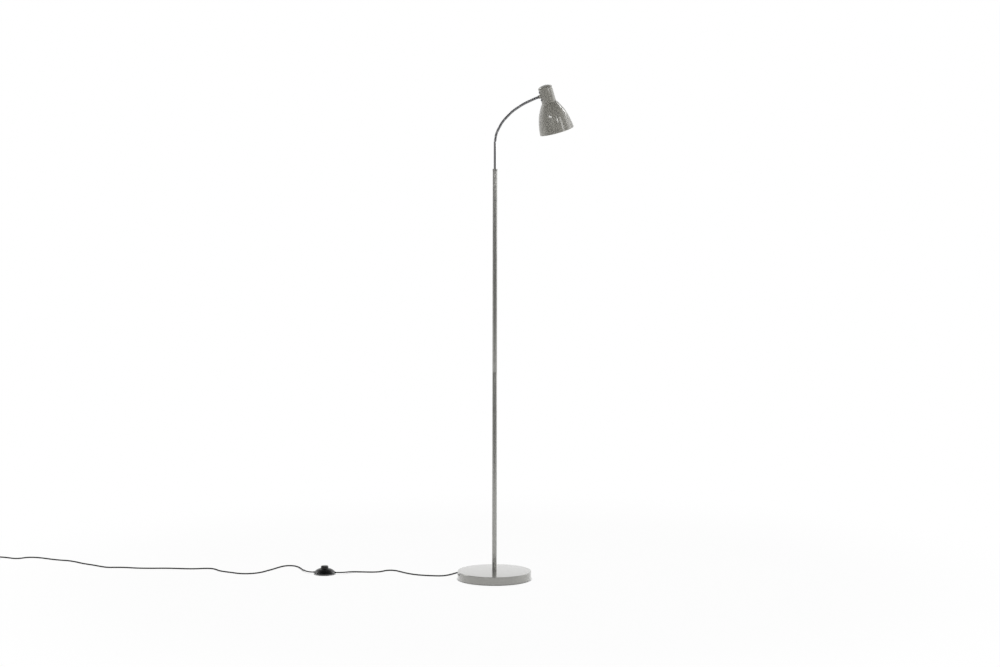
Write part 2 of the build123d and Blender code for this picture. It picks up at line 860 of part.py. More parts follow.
with BuildPart() as switch_bottom:
    with BuildSketch(switch_profile):
        with BuildLine():
            Line((0, switch_feet_height), (switch_foot_radius, switch_feet_height))
            ThreePointArc(
                (switch_foot_radius, switch_feet_height),
                (switch_radius - 1.7, switch_split - 2.6),
                (switch_radius, switch_split),
            )
            Polyline(
                (switch_radius, switch_split),
                (switch_radius - switch_wall, switch_split),
                (switch_foot_radius, switch_floor),
                (0, switch_floor),
                (0, switch_feet_height),
            )
        make_face()
    revolve(axis=switch_axis)
    with BuildSketch(switch_seam.offset(-switch_radius)):
        Circle(relief_neck + slip)
    extrude(amount=2 * switch_radius, mode=Mode.SUBTRACT)
    for angle in post_angles:
        with BuildSketch(switch_plane(switch_feet_height)):
            with PolarLocations(post_place, 1, start_angle=angle):
                Circle(switch_screw_radius + slip)
        extrude(amount=switch_wall, mode=Mode.SUBTRACT)
        with BuildSketch(switch_plane(switch_feet_height)):
            with PolarLocations(post_place, 1, start_angle=angle):
                Circle(switch_screw_head + slip)
        extrude(amount=switch_screw_head_height, mode=Mode.SUBTRACT)

with BuildPart() as switch_top:
    with BuildSketch(switch_profile):
        with BuildLine():
            ThreePointArc(
                (switch_radius, switch_split),
                (switch_radius - 7.2, switch_split + 7.1),
                (button_hole + switch_wall, switch_crown),
            )
            Polyline(
                (button_hole + switch_wall, switch_crown),
                (button_hole, switch_crown),
                (button_hole, switch_crown - switch_wall),
                (button_hole + switch_wall, switch_crown - switch_wall),
            )
            ThreePointArc(
                (button_hole + switch_wall, switch_crown - switch_wall),
                (switch_radius - 8.4, switch_split + 5.3),
                (switch_radius - switch_wall, switch_split),
            )
            Line((switch_radius - switch_wall, switch_split), (switch_radius, switch_split))
        make_face()
    revolve(axis=switch_axis)
    for angle in post_angles:
        with BuildSketch(switch_plane(switch_floor)):
            with PolarLocations(post_place, 1, start_angle=angle):
                Circle(post_radius)
        extrude(amount=switch_split + 6.4 - switch_floor)
        with BuildSketch(switch_plane(switch_floor)):
            with PolarLocations(post_place, 1, start_angle=angle):
                Circle(switch_screw_radius + slip)
        extrude(amount=switch_screw_length - 1, mode=Mode.SUBTRACT)
    with BuildSketch(switch_seam.offset(-switch_radius)):
        Circle(relief_neck + slip)
    extrude(amount=2 * switch_radius, mode=Mode.SUBTRACT)

flange_top = switch_crown - switch_wall - air
button_foot = flange_top - button_flange_height
button_ceiling = button_top - button_roof
button_flat = button_radius - button_edge
button_round = (button_flat**2 + button_crown**2) / (2 * button_crown)
with BuildPart() as switch_button:
    with BuildSketch(switch_profile):
        with BuildLine():
            Polyline(
                (0, button_ceiling),
                (button_bore, button_ceiling),
                (button_bore, button_foot),
                (button_radius + button_flange, button_foot),
                (button_radius + button_flange, flange_top),
                (button_radius, flange_top),
                (button_radius, button_top - button_edge),
            )
            ThreePointArc(
                (button_radius, button_top - button_edge),
                (button_radius - 0.8, button_top - 0.9),
                (button_flat, button_top - button_crown),
            )
            RadiusArc(
                (button_flat, button_top - button_crown),
                (0, button_top),
                -button_round,
            )
            Line((0, button_top), (0, button_ceiling))
        make_face()
    revolve(axis=switch_axis)

module_top = switch_floor + module_height
with BuildPart() as switch_module:
    with BuildSketch(switch_plane(switch_floor)):
        RectangleRounded(module_length, module_width, 1)
    extrude(amount=module_height)
    with BuildSketch(switch_plane(module_top)):
        Circle(module_collar)
    extrude(amount=module_collar_height)

spring_foot = module_top + spring_wire + 0.1
spring_height = button_ceiling - module_top - 2 * (spring_wire + 0.1)
spring_start = switch_centre + Vector(spring_radius, 0, spring_foot)
with BuildPart() as switch_spring:
    with BuildLine() as spring_path:
        Helix(
            pitch=spring_height / spring_turns,
            height=spring_height,
            radius=spring_radius,
            center=switch_centre + Vector(0, 0, spring_foot),
        )
    with BuildSketch(Plane(origin=spring_path.line @ 0, z_dir=spring_path.line % 0)):
        Circle(spring_wire)
    sweep(is_frenet=True)

with BuildPart() as switch_screws:
    for angle in post_angles:
        with BuildSketch(switch_plane(switch_feet_height)):
            with PolarLocations(post_place, 1, start_angle=angle):
                Circle(switch_screw_radius)
        extrude(amount=switch_screw_length)
        with BuildSketch(switch_plane(switch_feet_height)):
            with PolarLocations(post_place, 1, start_angle=angle):
                Circle(switch_screw_head)
        extrude(amount=switch_screw_head_height)

with BuildPart() as switch_feet:
    with BuildSketch(switch_plane(0)):
        with PolarLocations(switch_feet_place, 3, start_angle=30):
            Circle(switch_feet_radius)
    extrude(amount=switch_feet_height)

# One strain relief on each side, in the seam between the halves
with BuildPart() as switch_reliefs:
    for side in (1, -1):
        side_way = switch_way * side
        seam = Plane(
            origin=switch_centre + Vector(0, 0, switch_split), x_dir=(0, 0, 1), z_dir=side_way
        )
        with BuildSketch(seam.offset(relief_inner)):
            Circle(relief_radius)
        extrude(amount=switch_foot_radius - relief_inner)
        with BuildSketch(seam.offset(switch_foot_radius)):
            Circle(relief_neck)
        extrude(amount=switch_radius - 0.5 - switch_foot_radius)
        for distance, radius in ((switch_radius - 0.5, relief_neck), (relief_outer, relief_tip)):
            with BuildSketch(seam.offset(distance)):
                Circle(radius)
        loft()

for piece, name in (
    (switch_bottom, "switch_bottom"),
    (switch_top, "switch_top"),
    (switch_button, "switch_button"),
    (switch_module, "switch_module"),
    (switch_spring, "switch_spring"),
    (switch_screws, "switch_screws"),
    (switch_feet, "switch_feet"),
    (switch_reliefs, "switch_reliefs"),
):
    piece.part.label = name
    export_step(piece.part, f"parts/{name}.step")

# ------------------------------------------------------------------ mains lead
cord_rest = cord_radius + cord_lift
exit_tip = exit_way * (base_radius + grommet_outside) + Vector(0, 0, exit_height)
switch_tips = [
    switch_centre + switch_way * side * relief_outer + Vector(0, 0, switch_split)
    for side in (1, -1)
]
coil_lift = tie_thickness + 0.1
coil_heading = 155  # direction in which the lead comes to the coil
coil_way = along(coil_heading)
coil_start = Vector(-1305, 982, cord_radius + coil_lift)

# From the base round its back to the foot switch
cord_to_switch_points = [
    tuple(exit_tip),
    tuple(exit_tip + exit_way * 14),
    (17, 154, 4.2),
    (1, 162, 2.7),
    (-18, 160, cord_rest),
    (-37, 150, cord_rest),
    (-58, 135, cord_rest),
    (-83.6, 118.1, cord_rest),
    (-107, 104, cord_rest),
    (-129, 101, cord_rest),
    (-150, 113, cord_rest),
    (-172, 130, cord_rest),
    (-190, 149, cord_rest),
    (-203, 174, cord_rest),
    (-211, 200, cord_rest),
    (-215.4, 221, cord_rest),
    (-220, 237, cord_rest),
    (-230.5, 250, cord_rest),
    (-246.5, 253, cord_rest),
    (-260.5, 245, cord_rest),
    (-273.5, 240, cord_rest),
    (-289, 241.5, cord_rest),
    (-307, 250, cord_rest),
    (-328, 263, cord_rest),
    (-346, 270, 2.4),
    (-360, 268, 3.4),
    (-372, 261, 4.6),
    (-383.5, 257, 5.3),
    tuple(switch_tips[0] + switch_way * 12),
    tuple(switch_tips[0]),
]

# From the foot switch over the floor, past the left of the view, to the coil
cord_to_plug_points = [
    tuple(switch_tips[1]),
    tuple(switch_tips[1] - switch_way * 12),
    (-481, 313, 5.1),
    (-483, 325, 4.2),
    (-479, 342, 3.0),
    (-475, 362, cord_rest),
    (-471.5, 386, cord_rest),
    (-470, 408, cord_rest),
    (-471, 427, cord_rest),
    (-477, 442, cord_rest),
    (-490, 450, cord_rest),
    (-505, 449, cord_rest),
    (-520, 440, cord_rest),
    (-537, 427, cord_rest),
    (-556, 411, cord_rest),
    (-576.5, 397, cord_rest),
    (-599, 380, cord_rest),
    (-624, 371, cord_rest),
    (-651, 373, cord_rest),
    (-672, 388, cord_rest),
    (-687, 414, cord_rest),
    (-701, 435, cord_rest),
    (-711, 456, cord_rest),
    (-712, 479, cord_rest),
    (-718, 498, cord_rest),
    (-735, 510, cord_rest),
    (-760, 514, cord_rest),
    (-785, 523, cord_rest),
    (-813, 542, cord_rest),
    (-847, 563, cord_rest),
    (-891, 580, cord_rest),
    (-929, 601, cord_rest),
    (-954, 625, cord_rest),
    (-980, 638, cord_rest),
    (-1005, 647, cord_rest),
    (-1020, 674, cord_rest),
    (-1035, 708, cord_rest),
    (-1054, 739, cord_rest),
    (-1066, 776, cord_rest),
    (-1083, 810, cord_rest),
    (-1104, 827, cord_rest),
    (-1124, 853, cord_rest),
    (-1141, 881, cord_rest),
    (-1158, 903, cord_rest),
    (-1175, 915, cord_rest),
    (-1191, 917, cord_rest),
    (-1207, 910, cord_rest),
    (-1221, 911, cord_rest),
    (-1232, 920, cord_rest),
    (-1241, 936, cord_rest),
    (-1254, 952, cord_rest),
    (-1271, 965, 2.1),
    tuple(coil_start - coil_way * 16),
    tuple(coil_start),
]


def lead_route(points):
    """Make a route of straight runs and tangent arcs in the current line builder."""
    FilletPolyline(*points, radius=bend_radii(points))


with BuildPart() as cord_to_switch:
    with BuildLine() as cord_to_switch_path:
        lead_route(cord_to_switch_points)
    with BuildSketch(exit_plane.offset(base_radius + grommet_outside)):
        Circle(cord_radius)
    sweep()

with BuildPart() as cord_to_plug:
    with BuildLine() as cord_to_plug_path:
        lead_route(cord_to_plug_points)
    with BuildSketch(Plane(origin=switch_tips[1], x_dir=(0, 0, 1), z_dir=-switch_way)):
        Circle(cord_radius)
    sweep()

# ------------------------------------------------------------------ put-away coil
coil_centre = coil_start + along(coil_heading + 90) * coil_radius
coil_middle = 2 * math.pi * coil_turns  # where the spiral turns back and climbs


def coil_radius_at(angle):
    """Radius of the coil's centreline: in at a steady rate, and out again."""
    return coil_radius - coil_step * (coil_middle - abs(angle - coil_middle)) / (2 * math.pi)


def coil_point(angle):
    """Point of the coil's centreline, at an angle wound since its start."""
    share = min(max((angle - coil_middle) / math.pi + 0.5, 0), 1)
    rise = coil_rise * share * share * (3 - 2 * share)
    way = along(coil_heading - 90 + math.degrees(angle))
    return coil_centre + way * coil_radius_at(angle) + Vector(0, 0, rise)


def coil_tangent(angle):
    """Direction of the coil's centreline, level at its ends."""
    small = 0.001
    if angle < small or angle > 2 * coil_middle - small:
        return coil_way
    return (coil_point(angle + small) - coil_point(angle - small)).normalized()


def biarc(start, start_way, end, end_way):
    """Two tangent arcs from start to end, added to the current line builder."""
    chord = end - start
    both = start_way + end_way
    a = 2 * (1 - start_way.dot(end_way))
    b = 2 * chord.dot(both)
    c = -chord.dot(chord)
    reach = (-b + math.sqrt(b * b - 4 * a * c)) / (2 * a)
    first_corner = start + start_way * reach
    second_corner = end - end_way * reach
    meet = (first_corner + second_corner) / 2
    TangentArc(start, meet, tangent=start_way)
    TangentArc(meet, end, tangent=second_corner - first_corner)


coil_steps = 4 * 2 * coil_turns
coil_angles = [2 * coil_middle * i / coil_steps for i in range(coil_steps + 1)]
coil_end = coil_point(coil_angles[-1])
with BuildPart() as cord_coil:
    with BuildLine() as coil_path:
        for one, two in zip(coil_angles, coil_angles[1:]):
            biarc(coil_point(one), coil_tangent(one), coil_point(two), coil_tangent(two))
        Line(coil_end, coil_end + coil_way * tail)
    with BuildSketch(Plane(origin=coil_start, x_dir=(0, 0, 1), z_dir=coil_way)):
        Circle(cord_radius)
    sweep()

# Least gap of the coil to itself, on points a tenth of a radian apart
samples = [0.1 * i for i in range(int(20 * coil_middle) + 1)]
centres = [coil_point(angle) for angle in samples]
least = min(
    (centres[i] - centres[j]).length
    for i in range(len(samples))
    for j in range(i + 30, len(samples))
)
print(f"coil: least gap to itself {least - 2 * cord_radius:.2f}")

# Strap round the coil's two layers
tie_inner = coil_radius - coil_step * coil_turns - cord_radius - tie_play
tie_outer = coil_radius + cord_radius + tie_play
tie_top = coil_lift + 2 * cord_radius + coil_rise + tie_play
tie_way = along(tie_angle)
tie_plane = Plane(
    origin=Vector(coil_centre.X, coil_centre.Y, 0) + tie_way * (tie_inner + tie_outer) / 2,
    x_dir=tie_way,
    z_dir=tie_way.cross(Vector(0, 0, 1)),
)
with BuildPart() as cord_tie:
    with BuildSketch(tie_plane):
        with Locations((0, (tie_top + tie_thickness) / 2)):
            RectangleRounded(
                tie_outer - tie_inner + 2 * tie_thickness, tie_top + tie_thickness, 1.5
            )
        with Locations((0, (tie_top + tie_thickness) / 2)):
            RectangleRounded(tie_outer - tie_inner, tie_top - tie_thickness, 0.9, mode=Mode.SUBTRACT)
    extrude(amount=tie_width / 2, both=True)

# ------------------------------------------------------------------ plug
plug_start = coil_end + coil_way * tail
plug_across = along(coil_heading + 90)
body_start = plug_start + coil_way * plug_relief_length
plug_floor = Plane(
    origin=Vector(body_start.X, body_start.Y, plug_height - plug_thickness / 2),
    x_dir=coil_way,
    z_dir=(0, 0, 1),
)
with BuildPart() as plug_relief:
    for distance, radius in ((0, plug_relief_tip), (plug_relief_length, plug_relief_radius)):
        with BuildSketch(
            Plane(origin=plug_start + coil_way * distance, x_dir=(0, 0, 1), z_dir=coil_way)
        ):
            Circle(radius)
    loft()

pin_way = Plane(origin=body_start + coil_way * plug_length, x_dir=plug_across, z_dir=coil_way)
with BuildPart() as plug_body:
    with BuildSketch(plug_floor):
        with BuildLine():
            Polyline(
                (0, -plug_nose_width / 2),
                (plug_nose, -plug_width / 2),
                (plug_length, -plug_width / 2),
                (plug_length, plug_width / 2),
                (plug_nose, plug_width / 2),
                (0, plug_nose_width / 2),
                close=True,
            )
        make_face()
    extrude(amount=plug_thickness)
    fillet(plug_body.edges().filter_by(Axis.Z), radius=plug_edge)
    fillet(plug_body.edges().group_by(Axis.Z)[-1], radius=plug_edge)
    fillet(plug_body.edges().group_by(Axis.Z)[0], radius=plug_edge)
    with BuildSketch(pin_way.offset(-pin_root)):
        with Locations((-pin_spacing / 2, 0), (pin_spacing / 2, 0)):
            Circle(pin_radius + slip)
    extrude(amount=pin_root, mode=Mode.SUBTRACT)

with BuildPart() as plug_pins:
    with BuildSketch(pin_way.offset(-pin_root)):
        with Locations((-pin_spacing / 2, 0), (pin_spacing / 2, 0)):
            Circle(pin_radius)
    extrude(amount=pin_root + pin_length)
    tips = plug_pins.edges().group_by(Axis(body_start, coil_way))[-1]
    fillet(tips, radius=1.2)

for piece, name in (
    (cord_to_switch, "cord_to_switch"),
    (cord_to_plug, "cord_to_plug"),
    (cord_coil, "cord_coil"),
    (cord_tie, "cord_tie"),
    (plug_relief, "plug_relief"),
    (plug_body, "plug_body"),
    (plug_pins, "plug_pins"),
):
    piece.part.label = name
    export_step(piece.part, f"parts/{name}.step")

report(
    "cord_to_switch",
    cord_to_switch.part,
    cord_radius,
    cord_to_switch_path,
    bend_radii(cord_to_switch_points),
)
report(
    "cord_to_plug",
    cord_to_plug.part,
    cord_radius,
    cord_to_plug_path,
    bend_radii(cord_to_plug_points),
)
report(
    "cord_coil",
    cord_coil.part,
    cord_radius,
    coil_path,
    [coil_radius_at(angle) for angle in coil_angles],
)
report(
    "lead_gooseneck",
    lead_gooseneck.part,
    lead_radius,
    lead_gooseneck_path,
    bend_radii(neck_lead_points),
)
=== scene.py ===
"""Dresses the gooseneck reading lamp: turned metalwork, the wound neck, the foot switch,
the lead on the floor, every finish, and the white studio that the lamp stands in."""

import logging
import math
from dataclasses import dataclass, field
from enum import Enum

import bmesh
import bpy
from mathutils import Matrix, Vector


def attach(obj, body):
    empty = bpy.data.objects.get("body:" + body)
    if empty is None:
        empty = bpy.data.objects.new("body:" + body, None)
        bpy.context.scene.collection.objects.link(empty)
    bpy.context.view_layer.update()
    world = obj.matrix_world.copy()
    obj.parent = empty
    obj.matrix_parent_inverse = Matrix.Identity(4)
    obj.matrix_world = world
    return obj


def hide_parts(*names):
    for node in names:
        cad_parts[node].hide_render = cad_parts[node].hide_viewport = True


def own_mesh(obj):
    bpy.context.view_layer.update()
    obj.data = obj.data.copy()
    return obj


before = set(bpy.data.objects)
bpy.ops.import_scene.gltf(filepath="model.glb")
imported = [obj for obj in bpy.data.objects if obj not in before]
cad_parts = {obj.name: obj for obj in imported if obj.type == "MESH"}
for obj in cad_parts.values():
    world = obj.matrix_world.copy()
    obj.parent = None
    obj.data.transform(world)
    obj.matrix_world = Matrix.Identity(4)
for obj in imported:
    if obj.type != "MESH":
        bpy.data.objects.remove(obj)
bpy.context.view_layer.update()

log = logging.getLogger("reading_lamp")
MM = 0.001
Pair = tuple[float, float]
Triple = tuple[float, float, float]
UP = Vector((0, 0, 1))
WHITE: Triple = (1.0, 1.0, 1.0)


def heading(degrees: float) -> Vector:
    """Level unit vector at an angle from +X, anticlockwise from above."""
    turn = math.radians(degrees)
    return Vector((math.cos(turn), math.sin(turn), 0))


def placed(name: str, data: bpy.types.ID) -> bpy.types.Object:
    """Make an object and put it in the scene.

    Args:
        name: the object's name.
        data: its mesh, curve, camera or light.

    Returns:
        The object.
    """
    thing = bpy.data.objects.new(name, data)
    bpy.context.scene.collection.objects.link(thing)
    return thing


# ------------------------------------------------------------------ shader expressions
class Socket:
    """An output of a shader node that can stand in a Python expression."""

    def __init__(self, graph: "Graph", link: bpy.types.NodeSocket) -> None:
        """Keep the graph and the output that this stands for.

        Args:
            graph: the material's graph that the output belongs to.
            link: the node's output.
        """
        self.graph = graph
        self.link = link

    def _join(self, operation: str, first: "Term", second: "Term") -> "Socket":
        """Add the node that works out one operation on two terms.

        Args:
            operation: the operation's name, such as ADD.
            first: the left term.
            second: the right term.

        Returns:
            The result as a socket of the same kind as the richer of the two terms.
        """
        kinds = {term.link.type for term in (first, second) if isinstance(term, Socket)}
        if "RGBA" in kinds:
            return self.graph.blend(first, second, 1.0, operation)
        if "VECTOR" in kinds:
            terms = (triple(first), triple(second))
            settings = {"operation": operation}
            return self.graph.add("ShaderNodeVectorMath", settings, dict(enumerate(terms)))
        return self.graph.add("ShaderNodeMath", {"operation": operation}, {0: first, 1: second})

    def __add__(self, other: "Term") -> "Socket":
        """Sum of two terms."""
        return self._join("ADD", self, other)

    __radd__ = __add__

    def __mul__(self, other: "Term") -> "Socket":
        """Product of two terms."""
        return self._join("MULTIPLY", self, other)

    __rmul__ = __mul__

    def __sub__(self, other: "Term") -> "Socket":
        """This term less another."""
        return self._join("SUBTRACT", self, other)

    def __rsub__(self, other: "Term") -> "Socket":
        """Another term less this one."""
        return self._join("SUBTRACT", other, self)

    def eased(self, low: float, high: float) -> "Socket":
        """Smooth step of this number from 0 at low to 1 at high.

        Args:
            low: the value that gives 0.
            high: the value that gives 1.

        Returns:
            The eased number.
        """
        limits = {"Value": self, "From Min": low, "From Max": high, "To Min": 0.0, "To Max": 1.0}
        return self.graph.add("ShaderNodeMapRange", {"interpolation_type": "SMOOTHSTEP"}, limits)


Term = Socket | float | Triple


def triple(term: Term) -> Socket | Triple:
    """The term, with a plain number spread over three channels."""
    return (term,) * 3 if isinstance(term, (int, float)) else term


class Graph:
    """The node graph of one material or of the world."""

    def __init__(self, tree: bpy.types.NodeTree) -> None:
        """Start from an empty tree.

        Args:
            tree: the node tree to fill.
        """
        self.tree = tree
        tree.nodes.clear()

    def add(
        self,
        kind: str,
        settings: dict[str, object] | None = None,
        inputs: dict[str | int, Term] | None = None,
        take: str | int = 0,
    ) -> Socket:
        """Add any node, set it up and connect it.

        Args:
            kind: the node's type.
            settings: its own settings, set first.
            inputs: the values or links of its sockets, by name or place.
            take: the output that is handed back, by name or place.

        Returns:
            The output asked for.
        """
        node = self.tree.nodes.new(kind)
        for name, value in (settings or {}).items():
            setattr(node, name, value)
        for name, value in (inputs or {}).items():
            socket = node.inputs[name]
            if isinstance(value, Socket):
                self.tree.links.new(value.link, socket)
            elif socket.type == "RGBA":
                socket.default_value = (*triple(value), 1.0)
            else:
                socket.default_value = value
        return Socket(self, node.outputs[take] if node.outputs else None)

    def blend(self, first: Term, second: Term, share: Term, operation: str = "MIX") -> Socket:
        """Mix two colours.

        Args:
            first: the colour at share 0.
            second: the colour at share 1.
            share: how much of the second shows.
            operation: how they are combined.

        Returns:
            The mixed colour.
        """
        settings = {"data_type": "RGBA", "blend_type": operation}
        return self.add("ShaderNodeMix", settings, {0: share, 6: first, 7: second}, 2)

    def grey(self, tone: Term) -> Socket:
        """A number as a grey of that level."""
        return self.add("ShaderNodeCombineColor", None, {0: tone, 1: tone, 2: tone})

    def shaded(self, colour: Triple, tone: Socket) -> Socket:
        """A colour made lighter or darker by a number."""
        return self.blend(colour, self.grey(tone), 1.0, "MULTIPLY")

    def place(self) -> Socket:
        """Position on the piece, in metres from the lamp's origin."""
        return self.add("ShaderNodeTexCoord", take="Object")

    def noise(self, scale: float, detail: float = 3.0, roughness: float = 0.5) -> Socket:
        """Cloudy noise, 0 to 1, over the piece.

        Args:
            scale: features per metre.
            detail: octaves.
            roughness: strength of the finer octaves.

        Returns:
            The noise as a number.
        """
        inputs = {"Vector": self.place(), "Scale": scale, "Detail": detail, "Roughness": roughness}
        return self.add("ShaderNodeTexNoise", None, inputs, "Fac")

    def bump(self, height: Socket, depth: float) -> Socket:
        """Normal of a surface with a height on it.

        Args:
            height: the height, 0 to 1.
            depth: what a height of 1 stands for, in metres.

        Returns:
            The bent normal.
        """
        inputs = {"Height": height, "Distance": depth, "Strength": 1.0}
        return self.add("ShaderNodeBump", None, inputs)

    def finish(self, inputs: dict[str | int, Term]) -> None:
        """Add the surface shader and connect it to the output.

        Args:
            inputs: the shader's sockets.
        """
        surface = self.add("ShaderNodeBsdfPrincipled", None, inputs)
        self.add("ShaderNodeOutputMaterial", None, {"Surface": surface})


def new_material(name: str) -> tuple[bpy.types.Material, Graph]:
    """Make an empty material.

    Args:
        name: its name.

    Returns:
        The material and its graph.
    """
    material = bpy.data.materials.new(name)
    material.use_nodes = True
    return material, Graph(material.node_tree)


# ------------------------------------------------------------------ finishes
@dataclass(frozen=True)
class Paint:
    """Smooth sprayed paint with a clear gloss over it."""

    name: str
    colour: Triple
    metal: float = 0.0
    roughness: float = 0.3
    coat: float = 0.5
    coat_roughness: float = 0.06
    peel: float = 0.000002
    grain: float = 0.02

    def make(self) -> bpy.types.Material:
        """Make the paint: fine pigment grain, faint clouding, and orange peel in the gloss."""
        material, graph = new_material(self.name)
        pigment = graph.noise(700.0, 3.0, 0.6)
        cloud = graph.noise(9.0, 3.0)
        tone = 1.0 - self.grain + self.grain * (pigment + cloud)
        shaded = graph.shaded(self.colour, tone)
        haze = graph.noise(60.0, 4.0, 0.6)
        dust = graph.noise(300.0, 3.0, 0.7).eased(0.62, 0.8)
        peel = graph.noise(180.0, 2.0, 0.4)
        graph.finish(
            {
                "Base Color": shaded,
                "Metallic": self.metal,
                "Roughness": self.roughness + 0.05 * (haze - 0.5) + 0.03 * dust,
                "Coat Weight": self.coat,
                "Coat Roughness": self.coat_roughness,
                "Coat IOR": 1.5,
                "Normal": graph.bump(peel, self.peel),
            }
        )
        return material


@dataclass(frozen=True)
class Plated:
    """Plated or bare metal, polished to drawn or rolled."""

    name: str
    colour: Triple
    roughness: float = 0.1
    streaks: float = 0.0
    streak_scale: Triple = (900.0, 900.0, 14.0)
    tarnish: float = 0.1

    def make(self) -> bpy.types.Material:
        """Make the metal: handling haze, faint tarnish, and drawn streaks where it has them."""
        material, graph = new_material(self.name)
        haze = graph.noise(45.0, 5.0, 0.62)
        stain = graph.noise(210.0, 4.0, 0.6).eased(0.5, 0.75)
        stretched = graph.place() * self.streak_scale
        inputs = {"Vector": stretched, "Scale": 1.0, "Detail": 2.0}
        lines = graph.add("ShaderNodeTexNoise", None, inputs, "Fac")
        tone = 1.0 - self.tarnish * stain
        graph.finish(
            {
                "Base Color": graph.shaded(self.colour, tone),
                "Metallic": 1.0,
                "Roughness": self.roughness + 0.06 * (haze - 0.4) + self.streaks * (lines - 0.5),
                "Normal": graph.bump(lines, 0.00001 * self.streaks + 0.000001),
            }
        )
        return material


@dataclass(frozen=True)
class Moulded:
    """Moulded plastic or rubber."""

    name: str
    colour: Triple
    roughness: float = 0.35
    grain: float = 0.00002
    grain_scale: float = 2600.0
    coat: float = 0.0
    lint: float = 0.1
    gloss: float = 0.5

    def make(self) -> bpy.types.Material:
        """Make the plastic: mould grain, flow marks, and a trace of lint scattered over it."""
        material, graph = new_material(self.name)
        grain = graph.noise(self.grain_scale, 3.0, 0.6)
        flow = graph.noise(30.0, 3.0)
        speck = graph.noise(1500.0, 2.0, 0.8).eased(0.66, 0.8)
        tinted = graph.shaded(self.colour, 0.86 + 0.28 * flow)
        graph.finish(
            {
                "Base Color": graph.blend(tinted, (0.35, 0.34, 0.33), self.lint * speck),
                "Roughness": self.roughness + 0.1 * (flow - 0.5) + 0.12 * (grain - 0.5),
                "Specular IOR Level": self.gloss,
                "Coat Weight": self.coat,
                "Coat Roughness": 0.12,
                "Normal": graph.bump(grain, self.grain),
            }
        )
        return material


@dataclass(frozen=True)
class Opal:
    """Milky plastic or glass that lets light through."""

    name: str
    colour: Triple

    def make(self) -> bpy.types.Material:
        """Make the opal: soft scatter under a smooth skin."""
        material, graph = new_material(self.name)
        cloud = graph.noise(55.0, 3.0)
        skin = graph.noise(700.0, 2.0)
        graph.finish(
            {
                "Base Color": graph.shaded(self.colour, 0.95 + 0.08 * cloud),
                "Roughness": 0.24 + 0.08 * skin,
                "Subsurface Weight": 0.35,
                "Subsurface Radius": WHITE,
                "Subsurface Scale": 0.004,
                "Coat Weight": 0.25,
                "Coat Roughness": 0.1,
                "Normal": graph.bump(skin, 0.000004),
            }
        )
        return material


@dataclass(frozen=True)
class Cast:
    """Rough cast iron."""

    name: str
    colour: Triple

    def make(self) -> bpy.types.Material:
        """Make the casting: sand grain, pits and rust bloom."""
        material, graph = new_material(self.name)
        sand = graph.noise(1300.0, 5.0, 0.7)
        pit = graph.noise(260.0, 3.0).eased(0.35, 0.5)
        rust = graph.noise(38.0, 5.0, 0.65).eased(0.56, 0.7)
        graph.finish(
            {
                "Base Color": graph.blend(self.colour, (0.16, 0.075, 0.04), 0.45 * rust),
                "Metallic": 0.6 - 0.5 * rust,
                "Roughness": 0.62 + 0.2 * sand,
                "Normal": graph.bump(sand * 0.5 + pit * 0.5, 0.0004),
            }
        )
        return material


@dataclass(frozen=True)
class Foam:
    """Cut foam sheet."""

    name: str
    colour: Triple

    def make(self) -> bpy.types.Material:
        """Make the foam: small open cells and a dusty bloom."""
        material, graph = new_material(self.name)
        inputs = {"Vector": graph.place(), "Scale": 900.0}
        cells = graph.add("ShaderNodeTexVoronoi", None, inputs, "Distance")
        dust = graph.noise(70.0, 4.0)
        graph.finish(
            {
                "Base Color": graph.blend(self.colour, (0.2, 0.19, 0.18), 0.25 * dust),
                "Roughness": 0.82 + 0.12 * cells,
                "Normal": graph.bump(cells, 0.0003),
            }
        )
        return material


class Finish(Enum):
    """Every finish on the lamp."""

    HEAD_PAINT = Paint("head_paint", (0.355, 0.345, 0.305), 0.0, 0.4, 0.9, 0.06)
    STAND_PAINT = Paint("stand_paint", (0.37, 0.367, 0.345), 0.6, 0.26, 1.0, 0.03)
    SHADE_INSIDE = Paint("shade_inside", (0.78, 0.78, 0.76), 0.0, 0.42, 0.15, 0.2)
    CHROME = Plated("neck_chrome", (0.74, 0.74, 0.75), 0.08, 0.04)
    WOUND = Plated("wound_neck", (0.27, 0.27, 0.28), 0.3, 0.06)
    ZINC = Plated("zinc_plate", (0.55, 0.55, 0.53), 0.34, 0.12)
    BRASS = Plated("contact_brass", (0.72, 0.53, 0.24), 0.22, 0.05)
    CAP_METAL = Plated("bulb_cap_metal", (0.66, 0.66, 0.66), 0.28, 0.06)
    IRON = Cast("cast_iron", (0.055, 0.055, 0.056))
    PAD_FOAM = Foam("pad_foam", (0.02, 0.02, 0.02))
    SWITCH_PLASTIC = Moulded(
        "switch_plastic", (0.008, 0.008, 0.0085), 0.34, 0.00001, 2200.0, 0.1, 0.04, 0.35
    )
    BUTTON_PLASTIC = Moulded(
        "button_plastic", (0.008, 0.008, 0.0085), 0.3, 0.000006, 2600.0, 0.15, 0.04, 0.35
    )
    TRIM_PLASTIC = Moulded("trim_plastic", (0.01, 0.01, 0.01), 0.45, lint=0.05, gloss=0.3)
    LEAD_RUBBER = Moulded(
        "lead_rubber", (0.003, 0.003, 0.0032), 0.5, 0.000012, 3200.0, 0.0, 0.02, 0.1
    )
    OPAL = Opal("bulb_opal", (0.86, 0.86, 0.83))

    def material(self) -> bpy.types.Material:
        """The finish's material, made the first time that it is asked for."""
        return bpy.data.materials.get(self.value.name) or self.value.make()


